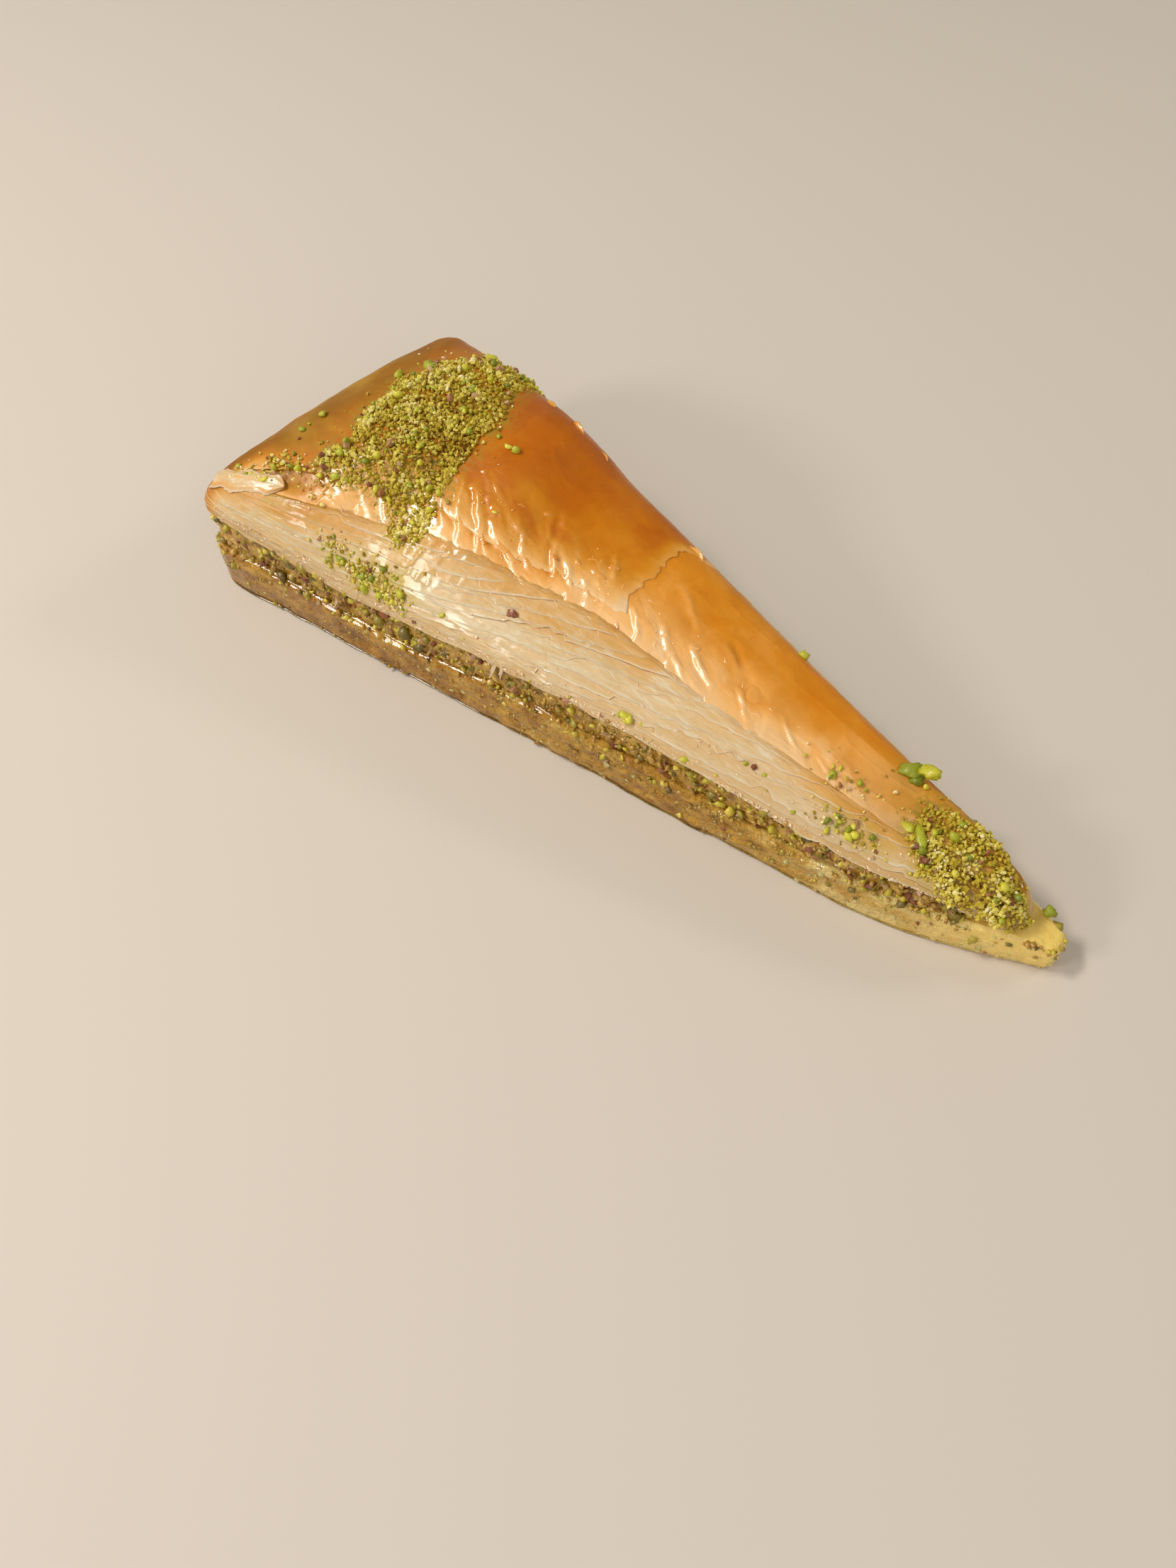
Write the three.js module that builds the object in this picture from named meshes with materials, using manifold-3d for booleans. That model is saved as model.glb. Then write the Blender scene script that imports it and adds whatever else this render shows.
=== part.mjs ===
// A long wedge of baked leaf pastry: a syrup soaked base, a band of ground pistachio and a puffed,
// fanned-out upper pastry with ground pistachio stuck to both ends of its crust.
// Millimetres, +X from the wide baked end to the narrow tip, +Y to the far cut side, +Z up.
// The work frame has x = 0 near the wide end; the finished part is shifted so that the middle of
// its footprint is the origin and its underside is z = 0.
import * as THREE from 'three';
import Module from 'manifold-3d';

const MIDDLE_X = 90.73; // middle of the footprint in the work frame
const MIDDLE_Y = -1.33;

const TIP_X = 186.5; // end of the base at the narrow tip
const FILLING_END_X = 171.5;
const UPPER_END_X = 179.5;

const FRONT_HALF = 37.6; // near cut side: half width at x = 0 and its slope
const FRONT_SLOPE = 0.142;
const TIP_PINCH = 9.0; // extra narrowing of the near side over the last 38 mm
const BACK_AT_TIP = 1.4; // far cut side
const BACK_SLOPE = 0.1795;
const LENGTH = 188;

const ARC_BACK = 4.6; // the baked outer end bulges this far behind x = 0
const ARC_SKEW = 0.1;
const ARC_CURVE = 0.0038;

const BASE_HEIGHT = 10.3;
const FILLING_HEIGHT = 6.6;
const NODE_GAP = 0.35; // clearance between base, filling and upper pastry

const SPINE_START_X = 17; // the ridge of the upper pastry
const SPINE_END_X = 168;
const SPINE_START_Y = 13;
const SPINE_END_Y = 1.5;

// height of the ridge along the length
const RIDGE_X = [-4, 5, 12, 20, 45, 56, 66, 75, 90, 110, 130, 150, 158, 167, 172, 178, 188];
const RIDGE_Z = [29, 33, 35.8, 38.2, 39.3, 38.8, 34.3, 32, 29.5, 25, 21.5, 18, 17.5, 16.8, 14.8, 12, 9];

const ARC_STEPS = 9; // points from the middle of the baked end to its corner
const CORNER_STEPS = 3;
const SIDE_STEPS = 44;
const TIP_STEPS = 3;

const LEAF_COUNT = 8; // fanned leaf edges on the cut faces
const LEAF_LIP = 0.45; // how far the top of a leaf edge stands out over its foot
const CRUST_ANGLE = 50; // degrees round the dome where the leaf edges give way to crust
const CRUST_RINGS = 7;

const HEAPS = [
  // ground pistachio: centre, half sizes, turn, thickness of the heap, number of grains, grain size
  { x: 31, y: 3, long: 24, wide: 13, turn: 1.35, thick: 1.6, count: 48, grain: 1.75 },
  { x: 167, y: -3, long: 12.5, wide: 7.5, turn: -0.33, thick: 1.3, count: 30, grain: 1.35 },
];

const LARGE_PIECES = [
  // a large nut piece of two lumps standing on the far edge, and two long slivers
  { x: 149, y: 4.6, lift: 1.2, size: 2.9, stretch: 1.15 },
  { x: 151.6, y: 4.8, lift: 3.2, size: 2.2, stretch: 1.2 },
  { x: 157, y: -5.6, lift: 1.3, size: 1.3, stretch: 2.0 },
  { x: 153.8, y: -6.2, lift: 1.2, size: 1.3, stretch: 1.9 },
];

function smooth(a, b, x) {
  const t = Math.min(1, Math.max(0, (x - a) / (b - a)));
  return t * t * (3 - 2 * t);
}

function along(xs, zs, x) {
  if (x <= xs[0]) return zs[0];
  for (let i = 1; i < xs.length; i += 1) {
    if (x <= xs[i]) return zs[i - 1] + (zs[i] - zs[i - 1]) * (x - xs[i - 1]) / (xs[i] - xs[i - 1]);
  }
  return zs[zs.length - 1];
}

// small repeatable random numbers
function randomFrom(seed) {
  let state = seed >>> 0;
  return () => {
    state = (state + 0x6d2b79f5) >>> 0;
    let t = state;
    t = Math.imul(t ^ (t >>> 15), t | 1);
    t ^= t + Math.imul(t ^ (t >>> 7), t | 61);
    return ((t ^ (t >>> 14)) >>> 0) / 4294967296;
  };
}

function frontEdge(x) {
  const pinch = TIP_PINCH * Math.pow(Math.max(0, x - 150) / 38, 1.7);
  return -(FRONT_HALF - FRONT_SLOPE * x - pinch);
}

function backEdge(x) {
  return BACK_AT_TIP + BACK_SLOPE * (LENGTH - x);
}

function arcEdge(y) {
  return -ARC_BACK + ARC_SKEW * y + ARC_CURVE * y * y;
}

function ridgeHeight(x) {
  return along(RIDGE_X, RIDGE_Z, x);
}

function baseTop(x) {
  const sway = 0.9 * Math.cos((2 * Math.PI * x) / 88);
  return BASE_HEIGHT - 1.7 * smooth(110, 160, x) - 2.6 * smooth(174, 189, x) + sway * (1 - smooth(120, 170, x));
}

function fillingTop(x) {
  const wide = FILLING_HEIGHT + 1.2 * (1 - smooth(0, 30, x)) - 2.2 * smooth(120, 165, x);
  return baseTop(x) + wide * (1 - smooth(160, 180, x)) + 0.4;
}

// Closed loop seen from above, starting at the middle of the baked end, along the near side to the
// tip and back along the far side. Point j and point (length - j) face each other across the piece.
function outlineLoop({ tipX, tipRound, cornerRound, inset = 0, arcInset = 0, backInset = 0 }) {
  const halves = [-1, 1].map((side) => {
    const width = (x) => (side < 0 ? -frontEdge(x) : backEdge(x) - backInset) - inset;
    const cornerWidth = width(2);
    const points = [];
    for (let k = 0; k < ARC_STEPS; k += 1) {
      const y = side * (k / ARC_STEPS) * (cornerWidth - cornerRound);
      points.push([arcEdge(y) + arcInset, y]);
    }
    const cornerX = arcEdge(side * (cornerWidth - cornerRound)) + arcInset;
    for (let k = 0; k < CORNER_STEPS; k += 1) {
      const turn = (k / CORNER_STEPS) * Math.PI / 2;
      const y = cornerWidth - cornerRound + cornerRound * Math.sin(turn);
      points.push([cornerX + cornerRound * (1 - Math.cos(turn)), side * y]);
    }
    const firstX = 6;
    const lastX = tipX - tipRound;
    for (let k = 0; k <= SIDE_STEPS; k += 1) {
      const x = firstX + (lastX - firstX) * (k / SIDE_STEPS);
      const settle = 1 - smooth(2, 16, x);
      points.push([x, side * (width(x) * (1 - settle) + cornerWidth * settle)]);
    }
    const endMiddle = (frontEdge(lastX) + backEdge(lastX)) / 2;
    for (let k = 1; k <= TIP_STEPS; k += 1) {
      const turn = (k / TIP_STEPS) * Math.PI / 2;
      const y = endMiddle + (side * width(lastX) - endMiddle) * Math.cos(turn);
      points.push([lastX + tipRound * Math.sin(turn), k === TIP_STEPS ? endMiddle : y]);
    }
    return points;
  });
  return [...halves[0], ...halves[1].slice(1, -1).reverse()];
}

// Outward direction, in plan, at every point of a loop.
function loopNormals(loop) {
  return loop.map((point, j) => {
    const before = loop[(j + loop.length - 1) % loop.length];
    const after = loop[(j + 1) % loop.length];
    const dx = after[0] - before[0];
    const dy = after[1] - before[1];
    const size = Math.hypot(dx, dy) || 1;
    return [dy / size, -dx / size];
  });
}

// Joins stacked rings of equal length into side walls and closes the ends between facing points.
function stackRings(rings) {
  const count = rings[0].length;
  const faces = [];
  for (let r = 0; r + 1 < rings.length; r += 1) {
    for (let j = 0; j < count; j += 1) {
      const n = (j + 1) % count;
      faces.push([rings[r][j], rings[r][n], rings[r + 1][n]]);
      faces.push([rings[r][j], rings[r + 1][n], rings[r + 1][j]]);
    }
  }
  const half = count / 2;
  const bottom = rings[0];
  const top = rings[rings.length - 1];
  for (let j = 0; j < half; j += 1) {
    const far = (count - j) % count;
    const farNext = count - j - 1;
    faces.push([top[j], top[j + 1], top[farNext]]);
    faces.push([top[j], top[farNext], top[far]]);
    faces.push([bottom[j], bottom[farNext], bottom[j + 1]]);
    faces.push([bottom[j], bottom[far], bottom[farNext]]);
  }
  return faces;
}

// Shared corners get one index; faces that have shrunk to a line are left out.
function weld(faces) {
  const index = new Map();
  const positions = [];
  const triangles = [];
  for (const face of faces) {
    const corners = face.map((p) => {
      const key = p.map((v) => Math.round(v * 1000)).join(',');
      if (!index.has(key)) {
        index.set(key, positions.length / 3);
        positions.push(...p.map((v) => Math.round(v * 1000) / 1000));
      }
      return index.get(key);
    });
    const [a, b, c] = corners;
    if (a !== b && b !== c && a !== c) triangles.push(a, b, c);
  }
  return { positions, triangles };
}

function toSolid(wasm, faces) {
  const { positions, triangles } = weld(faces);
  return new wasm.Manifold(new wasm.Mesh({
    numProp: 3,
    vertProperties: Float32Array.from(positions),
    triVerts: Uint32Array.from(triangles),
  }));
}

function toGeometry({ positions, triangles }) {
  const moved = positions.slice();
  for (let i = 0; i < moved.length; i += 3) {
    moved[i] -= MIDDLE_X;
    moved[i + 1] -= MIDDLE_Y;
  }
  const geometry = new THREE.BufferGeometry();
  geometry.setAttribute('position', new THREE.Float32BufferAttribute(moved, 3));
  geometry.setIndex(triangles);
  geometry.computeVertexNormals();
  return geometry;
}

// Gentle repeatable unevenness, about -1 to 1.
function ripple(x, y, kind) {
  const a = Math.sin(0.31 * x + 1.7 * kind + 0.22 * y);
  const b = Math.sin(0.113 * x - 0.37 * y + 2.9 * kind);
  const c = Math.sin(0.71 * x + 0.53 * y + 0.6 * kind);
  return 0.42 * a + 0.36 * b + 0.22 * c;
}

// The soaked base: pressed leaves that show as shallow ledges round the sides.
function makeBaseFaces() {
  const loop = outlineLoop({ tipX: TIP_X, tipRound: 1.6, cornerRound: 6 });
  const normals = loopNormals(loop);
  const levels = [
    [0, -0.45], [0.07, 0.0], [0.2, 0.15], [0.24, -0.25], [0.42, 0.1], [0.46, -0.3],
    [0.66, 0.05], [0.7, -0.35], [0.93, -0.2], [1, -0.7],
  ];
  const rings = levels.map(([level, out], r) => loop.map(([x, y], j) => {
    const wave = level > 0 ? 0.3 * ripple(x, y, r) : 0;
    const px = x + normals[j][0] * (out + wave);
    return [px, y + normals[j][1] * (out + wave), baseTop(px) * level];
  }));
  return stackRings(rings);
}

// The ground filling: a crumbly band set in a little from the pastry above and below.
function makeFillingFaces() {
  const loop = outlineLoop({ tipX: FILLING_END_X, tipRound: 4, cornerRound: 6, inset: 1.2, arcInset: 1.6 });
  const normals = loopNormals(loop);
  const random = randomFrom(41);
  const levels = [[0, -0.5], [0.14, 0.1], [0.36, 0.1], [0.6, 0.1], [0.84, 0.1], [1, -0.5]];
  const rings = levels.map(([level, out]) => loop.map(([x, y], j) => {
    const crumb = level > 0 && level < 1 ? 0.9 * (random() - 0.5) : 0.25 * (random() - 0.5);
    const px = x + normals[j][0] * (out + crumb);
    const low = baseTop(px) + NODE_GAP;
    return [px, y + normals[j][1] * (out + crumb), low + (fillingTop(px) - low) * level];
  }));
  return stackRings(rings);
}

// How square the dome of the upper pastry is: shallow on the near side, steep on the far side.
function domePower(x, y, side) {
  const near = 1.65 + 1.5 * (1 - smooth(0, 45, x));
  const far = 3.6;
  const behind = arcEdge(y) + 1.2;
  const baked = 1 - smooth(behind, behind + 8, x);
  const power = (side < 0 ? near : far) * (1 - baked) + 3.0 * baked;
  return power * (1 - smooth(166, 178, x)) + 2.4 * smooth(166, 178, x);
}

// Relief of the crust: shallow wrinkles and the torn edge of the topmost sheet.
function crustRelief(x, y) {
  const wrinkle = 0.28 * ripple(x * 1.3, y * 2.1, 3) * smooth(45, 60, x);
  const tear = 92 + 3.5 * Math.sin(0.55 * y) - 0.35 * y;
  return wrinkle - 0.8 * smooth(tear - 1, tear + 1.5, x);
}

// Extra height of the ground pistachio lying on the crust.
function heapRelief(x, y) {
  let height = 0;
  for (const heap of HEAPS) {
    const u = (x - heap.x) * Math.cos(heap.turn) + (y - heap.y) * Math.sin(heap.turn);
    const v = -(x - heap.x) * Math.sin(heap.turn) + (y - heap.y) * Math.cos(heap.turn);
    const reach = Math.hypot(u / heap.long, v / heap.wide);
    height += heap.thick * (1 - smooth(0.55, 1.05, reach)) * (0.8 + 0.4 * ripple(4 * x, 4 * y, 5));
  }
  return height;
}

// Point of the upper pastry: angle 0 is the lower rim, 90 degrees is the ridge. A point may stand
// out from the dome, and it may be lifted part of the way to the height of a later angle.
function domePoint(loop, normals, j, angle, out = 0, lift = 0, nextAngle = angle) {
  const [x, y] = loop[j];
  const side = j <= loop.length / 2 ? -1 : 1;
  const power = domePower(x, y, side);
  const inward = 1 - Math.pow(Math.max(0, Math.cos(angle)), 2 / power);
  const rise = Math.pow(Math.sin(angle), 2 / power);
  const nextRise = Math.pow(Math.sin(nextAngle), 2 / power);
  const spineX = Math.min(SPINE_END_X, Math.max(SPINE_START_X, x));
  const part = (spineX - SPINE_START_X) / (SPINE_END_X - SPINE_START_X);
  const spineY = SPINE_START_Y + (SPINE_END_Y - SPINE_START_Y) * part;
  const px = x + (spineX - x) * inward + normals[j][0] * out;
  const py = y + (spineY - y) * inward + normals[j][1] * out;
  const low = fillingTop(px) + NODE_GAP;
  const blend = smooth(0.7, 0.95, rise);
  const relief = (crustRelief(px, py) + heapRelief(px, py)) * blend;
  const height = ridgeHeight(px) - low;
  return [px, py, low + height * (rise + lift * (nextRise - rise)) + relief];
}

// Height of the upper pastry's surface above a point of the plan.
function crustHeight(loop, normals, x, y) {
  let best = [Infinity, 0];
  for (let j = 0; j < loop.length; j += 1) {
    for (let degrees = 2; degrees <= 90; degrees += 2) {
      const point = domePoint(loop, normals, j, (degrees * Math.PI) / 180, 0);
      const miss = Math.hypot(point[0] - x, point[1] - y);
      if (miss < best[0]) best = [miss, point[2]];
    }
  }
  return best[1];
}

// The puffed upper pastry: fanned leaf edges on the cut faces, then a rounded crust. Each leaf edge
// is a small upright step with a lip, and its upper face runs in to the foot of the next one.
function makeUpperFaces(loop, normals) {
  const radians = Math.PI / 180;
  const pitch = (CRUST_ANGLE - 3) / LEAF_COUNT;
  const turns = [{ angle: 0, out: -0.4, wave: 0, lift: 0 }];
  for (let leaf = 0; leaf < LEAF_COUNT; leaf += 1) {
    const angle = 3 + pitch * leaf;
    turns.push({ angle, out: -0.3, wave: leaf + 1, lift: 0 });
    turns.push({ angle, out: LEAF_LIP, wave: leaf + 1, lift: 0.68 });
  }
  for (let ring = 0; ring <= CRUST_RINGS; ring += 1) {
    const angle = CRUST_ANGLE + ((90 - CRUST_ANGLE) * ring) / CRUST_RINGS;
    turns.push({ angle, out: 0, wave: 0, lift: 0 });
  }
  const rings = turns.map(({ angle, out, wave, lift }) => loop.map(([x, y], j) => {
    const swing = wave === 0 ? 0 : ripple(x, 0.4 * y, wave) * 1.0;
    const ragged = out > 0 ? 1 + 0.6 * ripple(2.3 * x, 1.4 * y, wave + 7) : 1;
    const turn = Math.min(90, Math.max(0, angle + swing)) * radians;
    return domePoint(loop, normals, j, turn, out * ragged, lift, turn + pitch * radians);
  }));
  return stackRings(rings);
}

// One grain of chopped nut: a twenty-faced lump, stretched and turned at random.
function makeGrain(wasm, random, centre, size, stretch) {
  const lump = new THREE.IcosahedronGeometry(1, 0);
  const place = lump.getAttribute('position');
  const spin = new THREE.Quaternion().setFromEuler(
    new THREE.Euler(random() * 6.28, random() * 6.28, random() * 6.28),
  );
  const faces = [];
  const corner = (i) => {
    const v = new THREE.Vector3().fromBufferAttribute(place, i);
    v.multiply(new THREE.Vector3(size * stretch, size, size * 0.8)).applyQuaternion(spin);
    return [v.x + centre[0], v.y + centre[1], v.z + centre[2]];
  };
  for (let i = 0; i < place.count; i += 3) {
    faces.push([corner(i), corner(i + 1), corner(i + 2)]);
  }
  return toSolid(wasm, faces);
}

// Places the grains of the heaps and the few large pieces, then fuses them to the crust.
function sprinkleGrains(wasm, loop, normals) {
  const random = randomFrom(7);
  const grains = [];
  for (const heap of HEAPS) {
    let placed = 0;
    const taken = [];
    for (let attempt = 0; attempt < 60000 && placed < heap.count; attempt += 1) {
      const j = Math.floor(random() * loop.length);
      const angle = (45 + 44 * Math.sqrt(random())) * Math.PI / 180;
      const [x, y, z] = domePoint(loop, normals, j, angle, 0);
      const u = (x - heap.x) * Math.cos(heap.turn) + (y - heap.y) * Math.sin(heap.turn);
      const v = -(x - heap.x) * Math.sin(heap.turn) + (y - heap.y) * Math.cos(heap.turn);
      if (Math.hypot(u / heap.long, v / heap.wide) > 1) continue;
      const size = heap.grain * (0.8 + 0.45 * random());
      if (taken.some(([a, b, c]) => Math.hypot(a - x, b - y) < c + size * 0.95)) continue;
      taken.push([x, y, size]);
      const stretch = 1.1 + 0.3 * random();
      const clear = fillingTop(x) + 2 * NODE_GAP + size * stretch;
      grains.push(makeGrain(wasm, random, [x, y, Math.max(clear, z + size * 0.25)], size, stretch));
      placed += 1;
    }
  }
  for (const { x, y, lift, size, stretch } of LARGE_PIECES) {
    const z = crustHeight(loop, normals, x, y) + lift;
    grains.push(makeGrain(wasm, random, [x, y, z], size, stretch));
  }
  return grains;
}

function fuseToppings(wasm, faces, grains) {
  const solid = wasm.Manifold.union([toSolid(wasm, faces), ...grains]);
  const largest = solid.decompose().sort((a, b) => b.volume() - a.volume())[0];
  const mesh = largest.getMesh();
  const triangles = [];
  for (let i = 0; i < mesh.triVerts.length; i += 3) {
    triangles.push([0, 1, 2].map((k) => {
      const v = mesh.triVerts[i + k] * mesh.numProp;
      return [mesh.vertProperties[v], mesh.vertProperties[v + 1], mesh.vertProperties[v + 2]];
    }));
  }
  return triangles;
}

function makeMesh(name, faces, color, roughness) {
  const material = new THREE.MeshStandardMaterial({ color, roughness, metalness: 0 });
  const mesh = new THREE.Mesh(toGeometry(weld(faces)), material);
  mesh.name = name;
  return mesh;
}

const wasm = await Module();
wasm.setup();

const upperLoop = outlineLoop({
  tipX: UPPER_END_X, tipRound: 5, cornerRound: 3.5, inset: 0.6, arcInset: 1.2, backInset: 0.8,
});
const upperNormals = loopNormals(upperLoop);
const upperFaces = makeUpperFaces(upperLoop, upperNormals);
const grains = sprinkleGrains(wasm, upperLoop, upperNormals);

const baklava = new THREE.Group();
baklava.name = 'baklava_piece';
baklava.add(makeMesh('base_pastry', makeBaseFaces(), 0xc9a468, 0.4));
baklava.add(makeMesh('pistachio_filling', makeFillingFaces(), 0x5f6a2a, 0.6));
baklava.add(makeMesh('top_pastry', fuseToppings(wasm, upperFaces, grains), 0xdd9a4b, 0.4));

export default baklava;
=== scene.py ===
"""Looks of a long wedge of baked leaf pastry: soaked base, ground pistachio filling, fanned pale
leaves, a glazed crust torn in its top sheet, ground pistachio and syrup.

Shapes are worked out in millimetres in the work frame of the piece, whose x starts near the wide
baked end, and are moved to the shared frame when a piece is made.
"""

import math

import bmesh
import bpy
import numpy as np
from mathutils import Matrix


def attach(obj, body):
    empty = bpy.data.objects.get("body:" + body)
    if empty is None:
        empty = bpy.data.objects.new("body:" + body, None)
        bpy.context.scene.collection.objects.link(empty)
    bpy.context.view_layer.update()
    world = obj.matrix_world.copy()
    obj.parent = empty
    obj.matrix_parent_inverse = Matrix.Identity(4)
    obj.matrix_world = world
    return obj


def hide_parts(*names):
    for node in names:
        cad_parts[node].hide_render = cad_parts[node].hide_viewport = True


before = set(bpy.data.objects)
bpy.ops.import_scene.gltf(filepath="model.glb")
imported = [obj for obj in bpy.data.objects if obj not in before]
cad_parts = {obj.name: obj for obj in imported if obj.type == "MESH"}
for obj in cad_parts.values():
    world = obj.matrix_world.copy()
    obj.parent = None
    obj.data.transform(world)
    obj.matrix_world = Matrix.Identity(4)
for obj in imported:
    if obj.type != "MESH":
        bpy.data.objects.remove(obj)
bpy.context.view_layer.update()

MIDDLE_X, MIDDLE_Y = 90.73, -1.33  # middle of the footprint in the work frame

TIP_X, FILLING_END_X, UPPER_END_X = 186.5, 171.5, 179.5  # where each layer ends at the narrow end
FRONT_HALF, FRONT_SLOPE = 37.6, 0.142
PINCH_START, PINCH_LENGTH, PINCH_DEPTH = 150, 38, 9.0  # the near side's turn in at the tip
BACK_AT_TIP, BACK_SLOPE, LENGTH = 1.4, 0.1795, 188.0
ARC_BACK, ARC_SKEW, ARC_CURVE = 4.6, 0.1, 0.0038
BASE_HEIGHT, FILLING_HEIGHT, NODE_GAP = 10.3, 6.6, 0.35
SPINE_START, SPINE_END = (17.0, 13.0), (168.0, 1.5)  # ends of the ridge in plan

# height of the ridge along the length
RIDGE_X = (-4, 5, 12, 20, 45, 56, 66, 75, 90, 110, 130, 150, 158, 167, 172, 178, 188)
RIDGE_Z = (29, 33, 35.8, 38.2, 39.3, 38.8, 34.3, 32, 29.5, 25, 21.5, 18, 17.5, 16.8, 14.8, 12, 9)

TEAR_X = 88.0  # where the topmost sheet of the crust is torn off

# dome angle where the crust starts on the near side, for the sheet below and the topmost sheet
LOWER_CRUST_X = (-5, 8, 20, 45, 62, 78, 90, 112, 150, 180)
LOWER_CRUST_START = (27, 28, 31, 41, 45, 50, 52, 51, 53, 51)
TOP_SHEET_X = (-5, 12, 25, 45, 62, 72, 80, 95)
TOP_SHEET_START = (36, 42, 46, 50, 50, 55, 57, 60)
CRUST_START_FAR, CRUST_START_BAKED, CRUST_START_TIP = 31.0, 19.0, 47.0

# swells of the crust on the near side: x, dome angle, half length, half width in degrees, height
SWELLS = (
    (17, 39, 8, 6, -0.9), (7, 34, 8, 4, 0.8), (25, 30, 4, 3, 0.5), (29, 41, 5, 5, 0.5),
    (66, 66, 3.5, 9, -0.55), (72, 67, 4, 6, 0.35), (57, 70, 5, 7, 0.25), (80, 68, 3, 8, 0.4),
    (84, 75, 4, 6, -0.3), (94, 64, 4, 8, 0.35), (103, 76, 7, 8, -0.3), (116, 69, 4, 6, -0.35),
    (111, 62, 5, 5, 0.3), (128, 78, 7, 9, -0.25), (137, 66, 6, 6, 0.25),
)

# pinched wrinkles of the crust: x and dome angle of both ends, height, half width
WRINKLES = (
    (43, 60, 50, 46, 0.40, 0.6), (46, 62, 55, 45, 0.50, 0.7), (50, 63, 60, 46, 0.60, 0.8),
    (54, 58, 62, 47, 0.50, 0.6), (57, 57, 67, 50, 0.50, 0.8), (61, 61, 70, 52, 0.40, 0.7),
    (70, 65, 75, 54, 0.65, 0.8), (74, 63, 79, 55, 0.45, 0.6), (79, 61, 84, 52, 0.40, 0.6),
    (64, 51, 73, 44, 0.30, 0.5), (76, 51, 84, 43, 0.30, 0.5), (90, 63, 95, 55, 0.40, 0.8),
    (97, 67, 101, 57, 0.45, 0.9), (103, 67, 112, 57, 0.50, 0.8), (100, 59, 108, 52, 0.35, 0.7),
    (115, 65, 121, 54, 0.30, 0.7), (124, 67, 131, 56, 0.28, 0.7), (134, 63, 141, 52, 0.25, 0.7),
    (92, 49, 101, 42, 0.28, 0.6), (104, 51, 114, 45, 0.28, 0.6), (29, 47, 37, 37, 0.30, 0.5),
    (35, 46, 43, 36, 0.32, 0.5), (24, 43, 31, 34, 0.30, 0.5), (66, 74, 70, 62, -0.35, 1.1),
    (80, 76, 84, 66, 0.35, 1.0), (93, 84, 103, 74, 0.30, 1.3), (108, 82, 116, 70, -0.30, 1.3),
)
DEGREE_LENGTH = 0.36  # length of one degree of the near shoulder
SLANT = math.radians(-30)  # direction of the fine pinches in plan

# darker and paler patches of the near crust: bake, x, reach along x, dome angle, reach in degrees
BAKE_PATCHES = (
    (0.40, 18, 8, 41, 9), (0.16, 118.5, 3, 65, 4), (-0.16, 33, 6, 49, 5), (0.08, 57, 8, 51, 7),
)

# ground pistachio on the crust: corners of the two covered areas in plan
WIDE_COVER = (
    (21, -12), (16, 5), (20, 15), (27, 26), (41, 27), (41, 14), (44, 9), (44, 0), (46, -12),
    (48, -20), (44, -22), (32, -17), (26, -21), (20, -20),
)
TIP_COVER = ((154, 1), (163, 4), (177, 0), (181, -5), (176, -10), (167, -12), (160, -11), (155, -6))

# middle, half sizes, turn in radians and depth of each heap
HEAPS = (
    (31.0, 3.0, 24.0, 13.0, 1.35, 1.6),
    (167.0, -3.0, 12.5, 7.5, -0.33, 1.3),
)
HEAP_SHARE = 0.55  # how much of a heap's depth the crust below it swells by


# ---------------------------------------------------------------- numbers and noise

def smooth(low, high, x):
    """0 below low, 1 above high, with a smooth cubic between them."""
    t = np.clip((x - low) / (high - low), 0.0, 1.0)
    return t * t * (3 - 2 * t)


def fade(low, high, x):
    """1 below low, 0 above high: smooth the other way round."""
    return 1 - smooth(low, high, x)


def bell(x, middle, reach):
    """Bell curve: exp of minus the square of the distance from the middle over the reach."""
    return np.exp(-((x - middle) / reach) ** 2)


def lattice(ix, iy, iz, seed):
    """Repeatable value from -1 to 1 for each whole-number lattice point, by mixing its bits."""
    h = (ix * 374761393 + iy * 668265263 + iz * 1440662683 + seed * 974634777) & 0xFFFFFFFF
    h = ((h ^ (h >> 13)) * 1274126177) & 0xFFFFFFFF
    h ^= h >> 16
    return h / 2147483647.5 - 1.0


def noise(points, size, seed=0):
    """Smooth noise from -1 to 1: the eight lattice values round a point, blended by their nearness.

    size is the spacing of the lattice in millimetres, one number or one for each axis."""
    q = np.asarray(points) / size
    cell = np.floor(q).astype(np.int64)
    f = q - cell
    f = f * f * (3 - 2 * f)
    total = 0.0
    for dx in (0, 1):
        for dy in (0, 1):
            for dz in (0, 1):
                weight = np.abs(1 - dx - f[..., 0]) * np.abs(1 - dy - f[..., 1])
                weight = weight * np.abs(1 - dz - f[..., 2])
                corner = lattice(cell[..., 0] + dx, cell[..., 1] + dy, cell[..., 2] + dz, seed)
                total = total + weight * corner
    return total


def layered_noise(points, size, octaves, seed=0):
    """Noise added to itself at half the size and half the strength, octaves times."""
    total, weight, share = 0.0, 0.0, 1.0
    for octave in range(octaves):
        total = total + share * noise(points, np.asarray(size) * 0.5 ** octave, seed + 17 * octave)
        weight += share
        share *= 0.5
    return total / weight


def knots(x, places, values, step=2):
    """Values read between places and averaged over four steps of x, so that corners are soft."""
    return sum(np.interp(x + step * n, places, values) for n in (-2, -1, 0, 1, 2)) / 5


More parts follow.
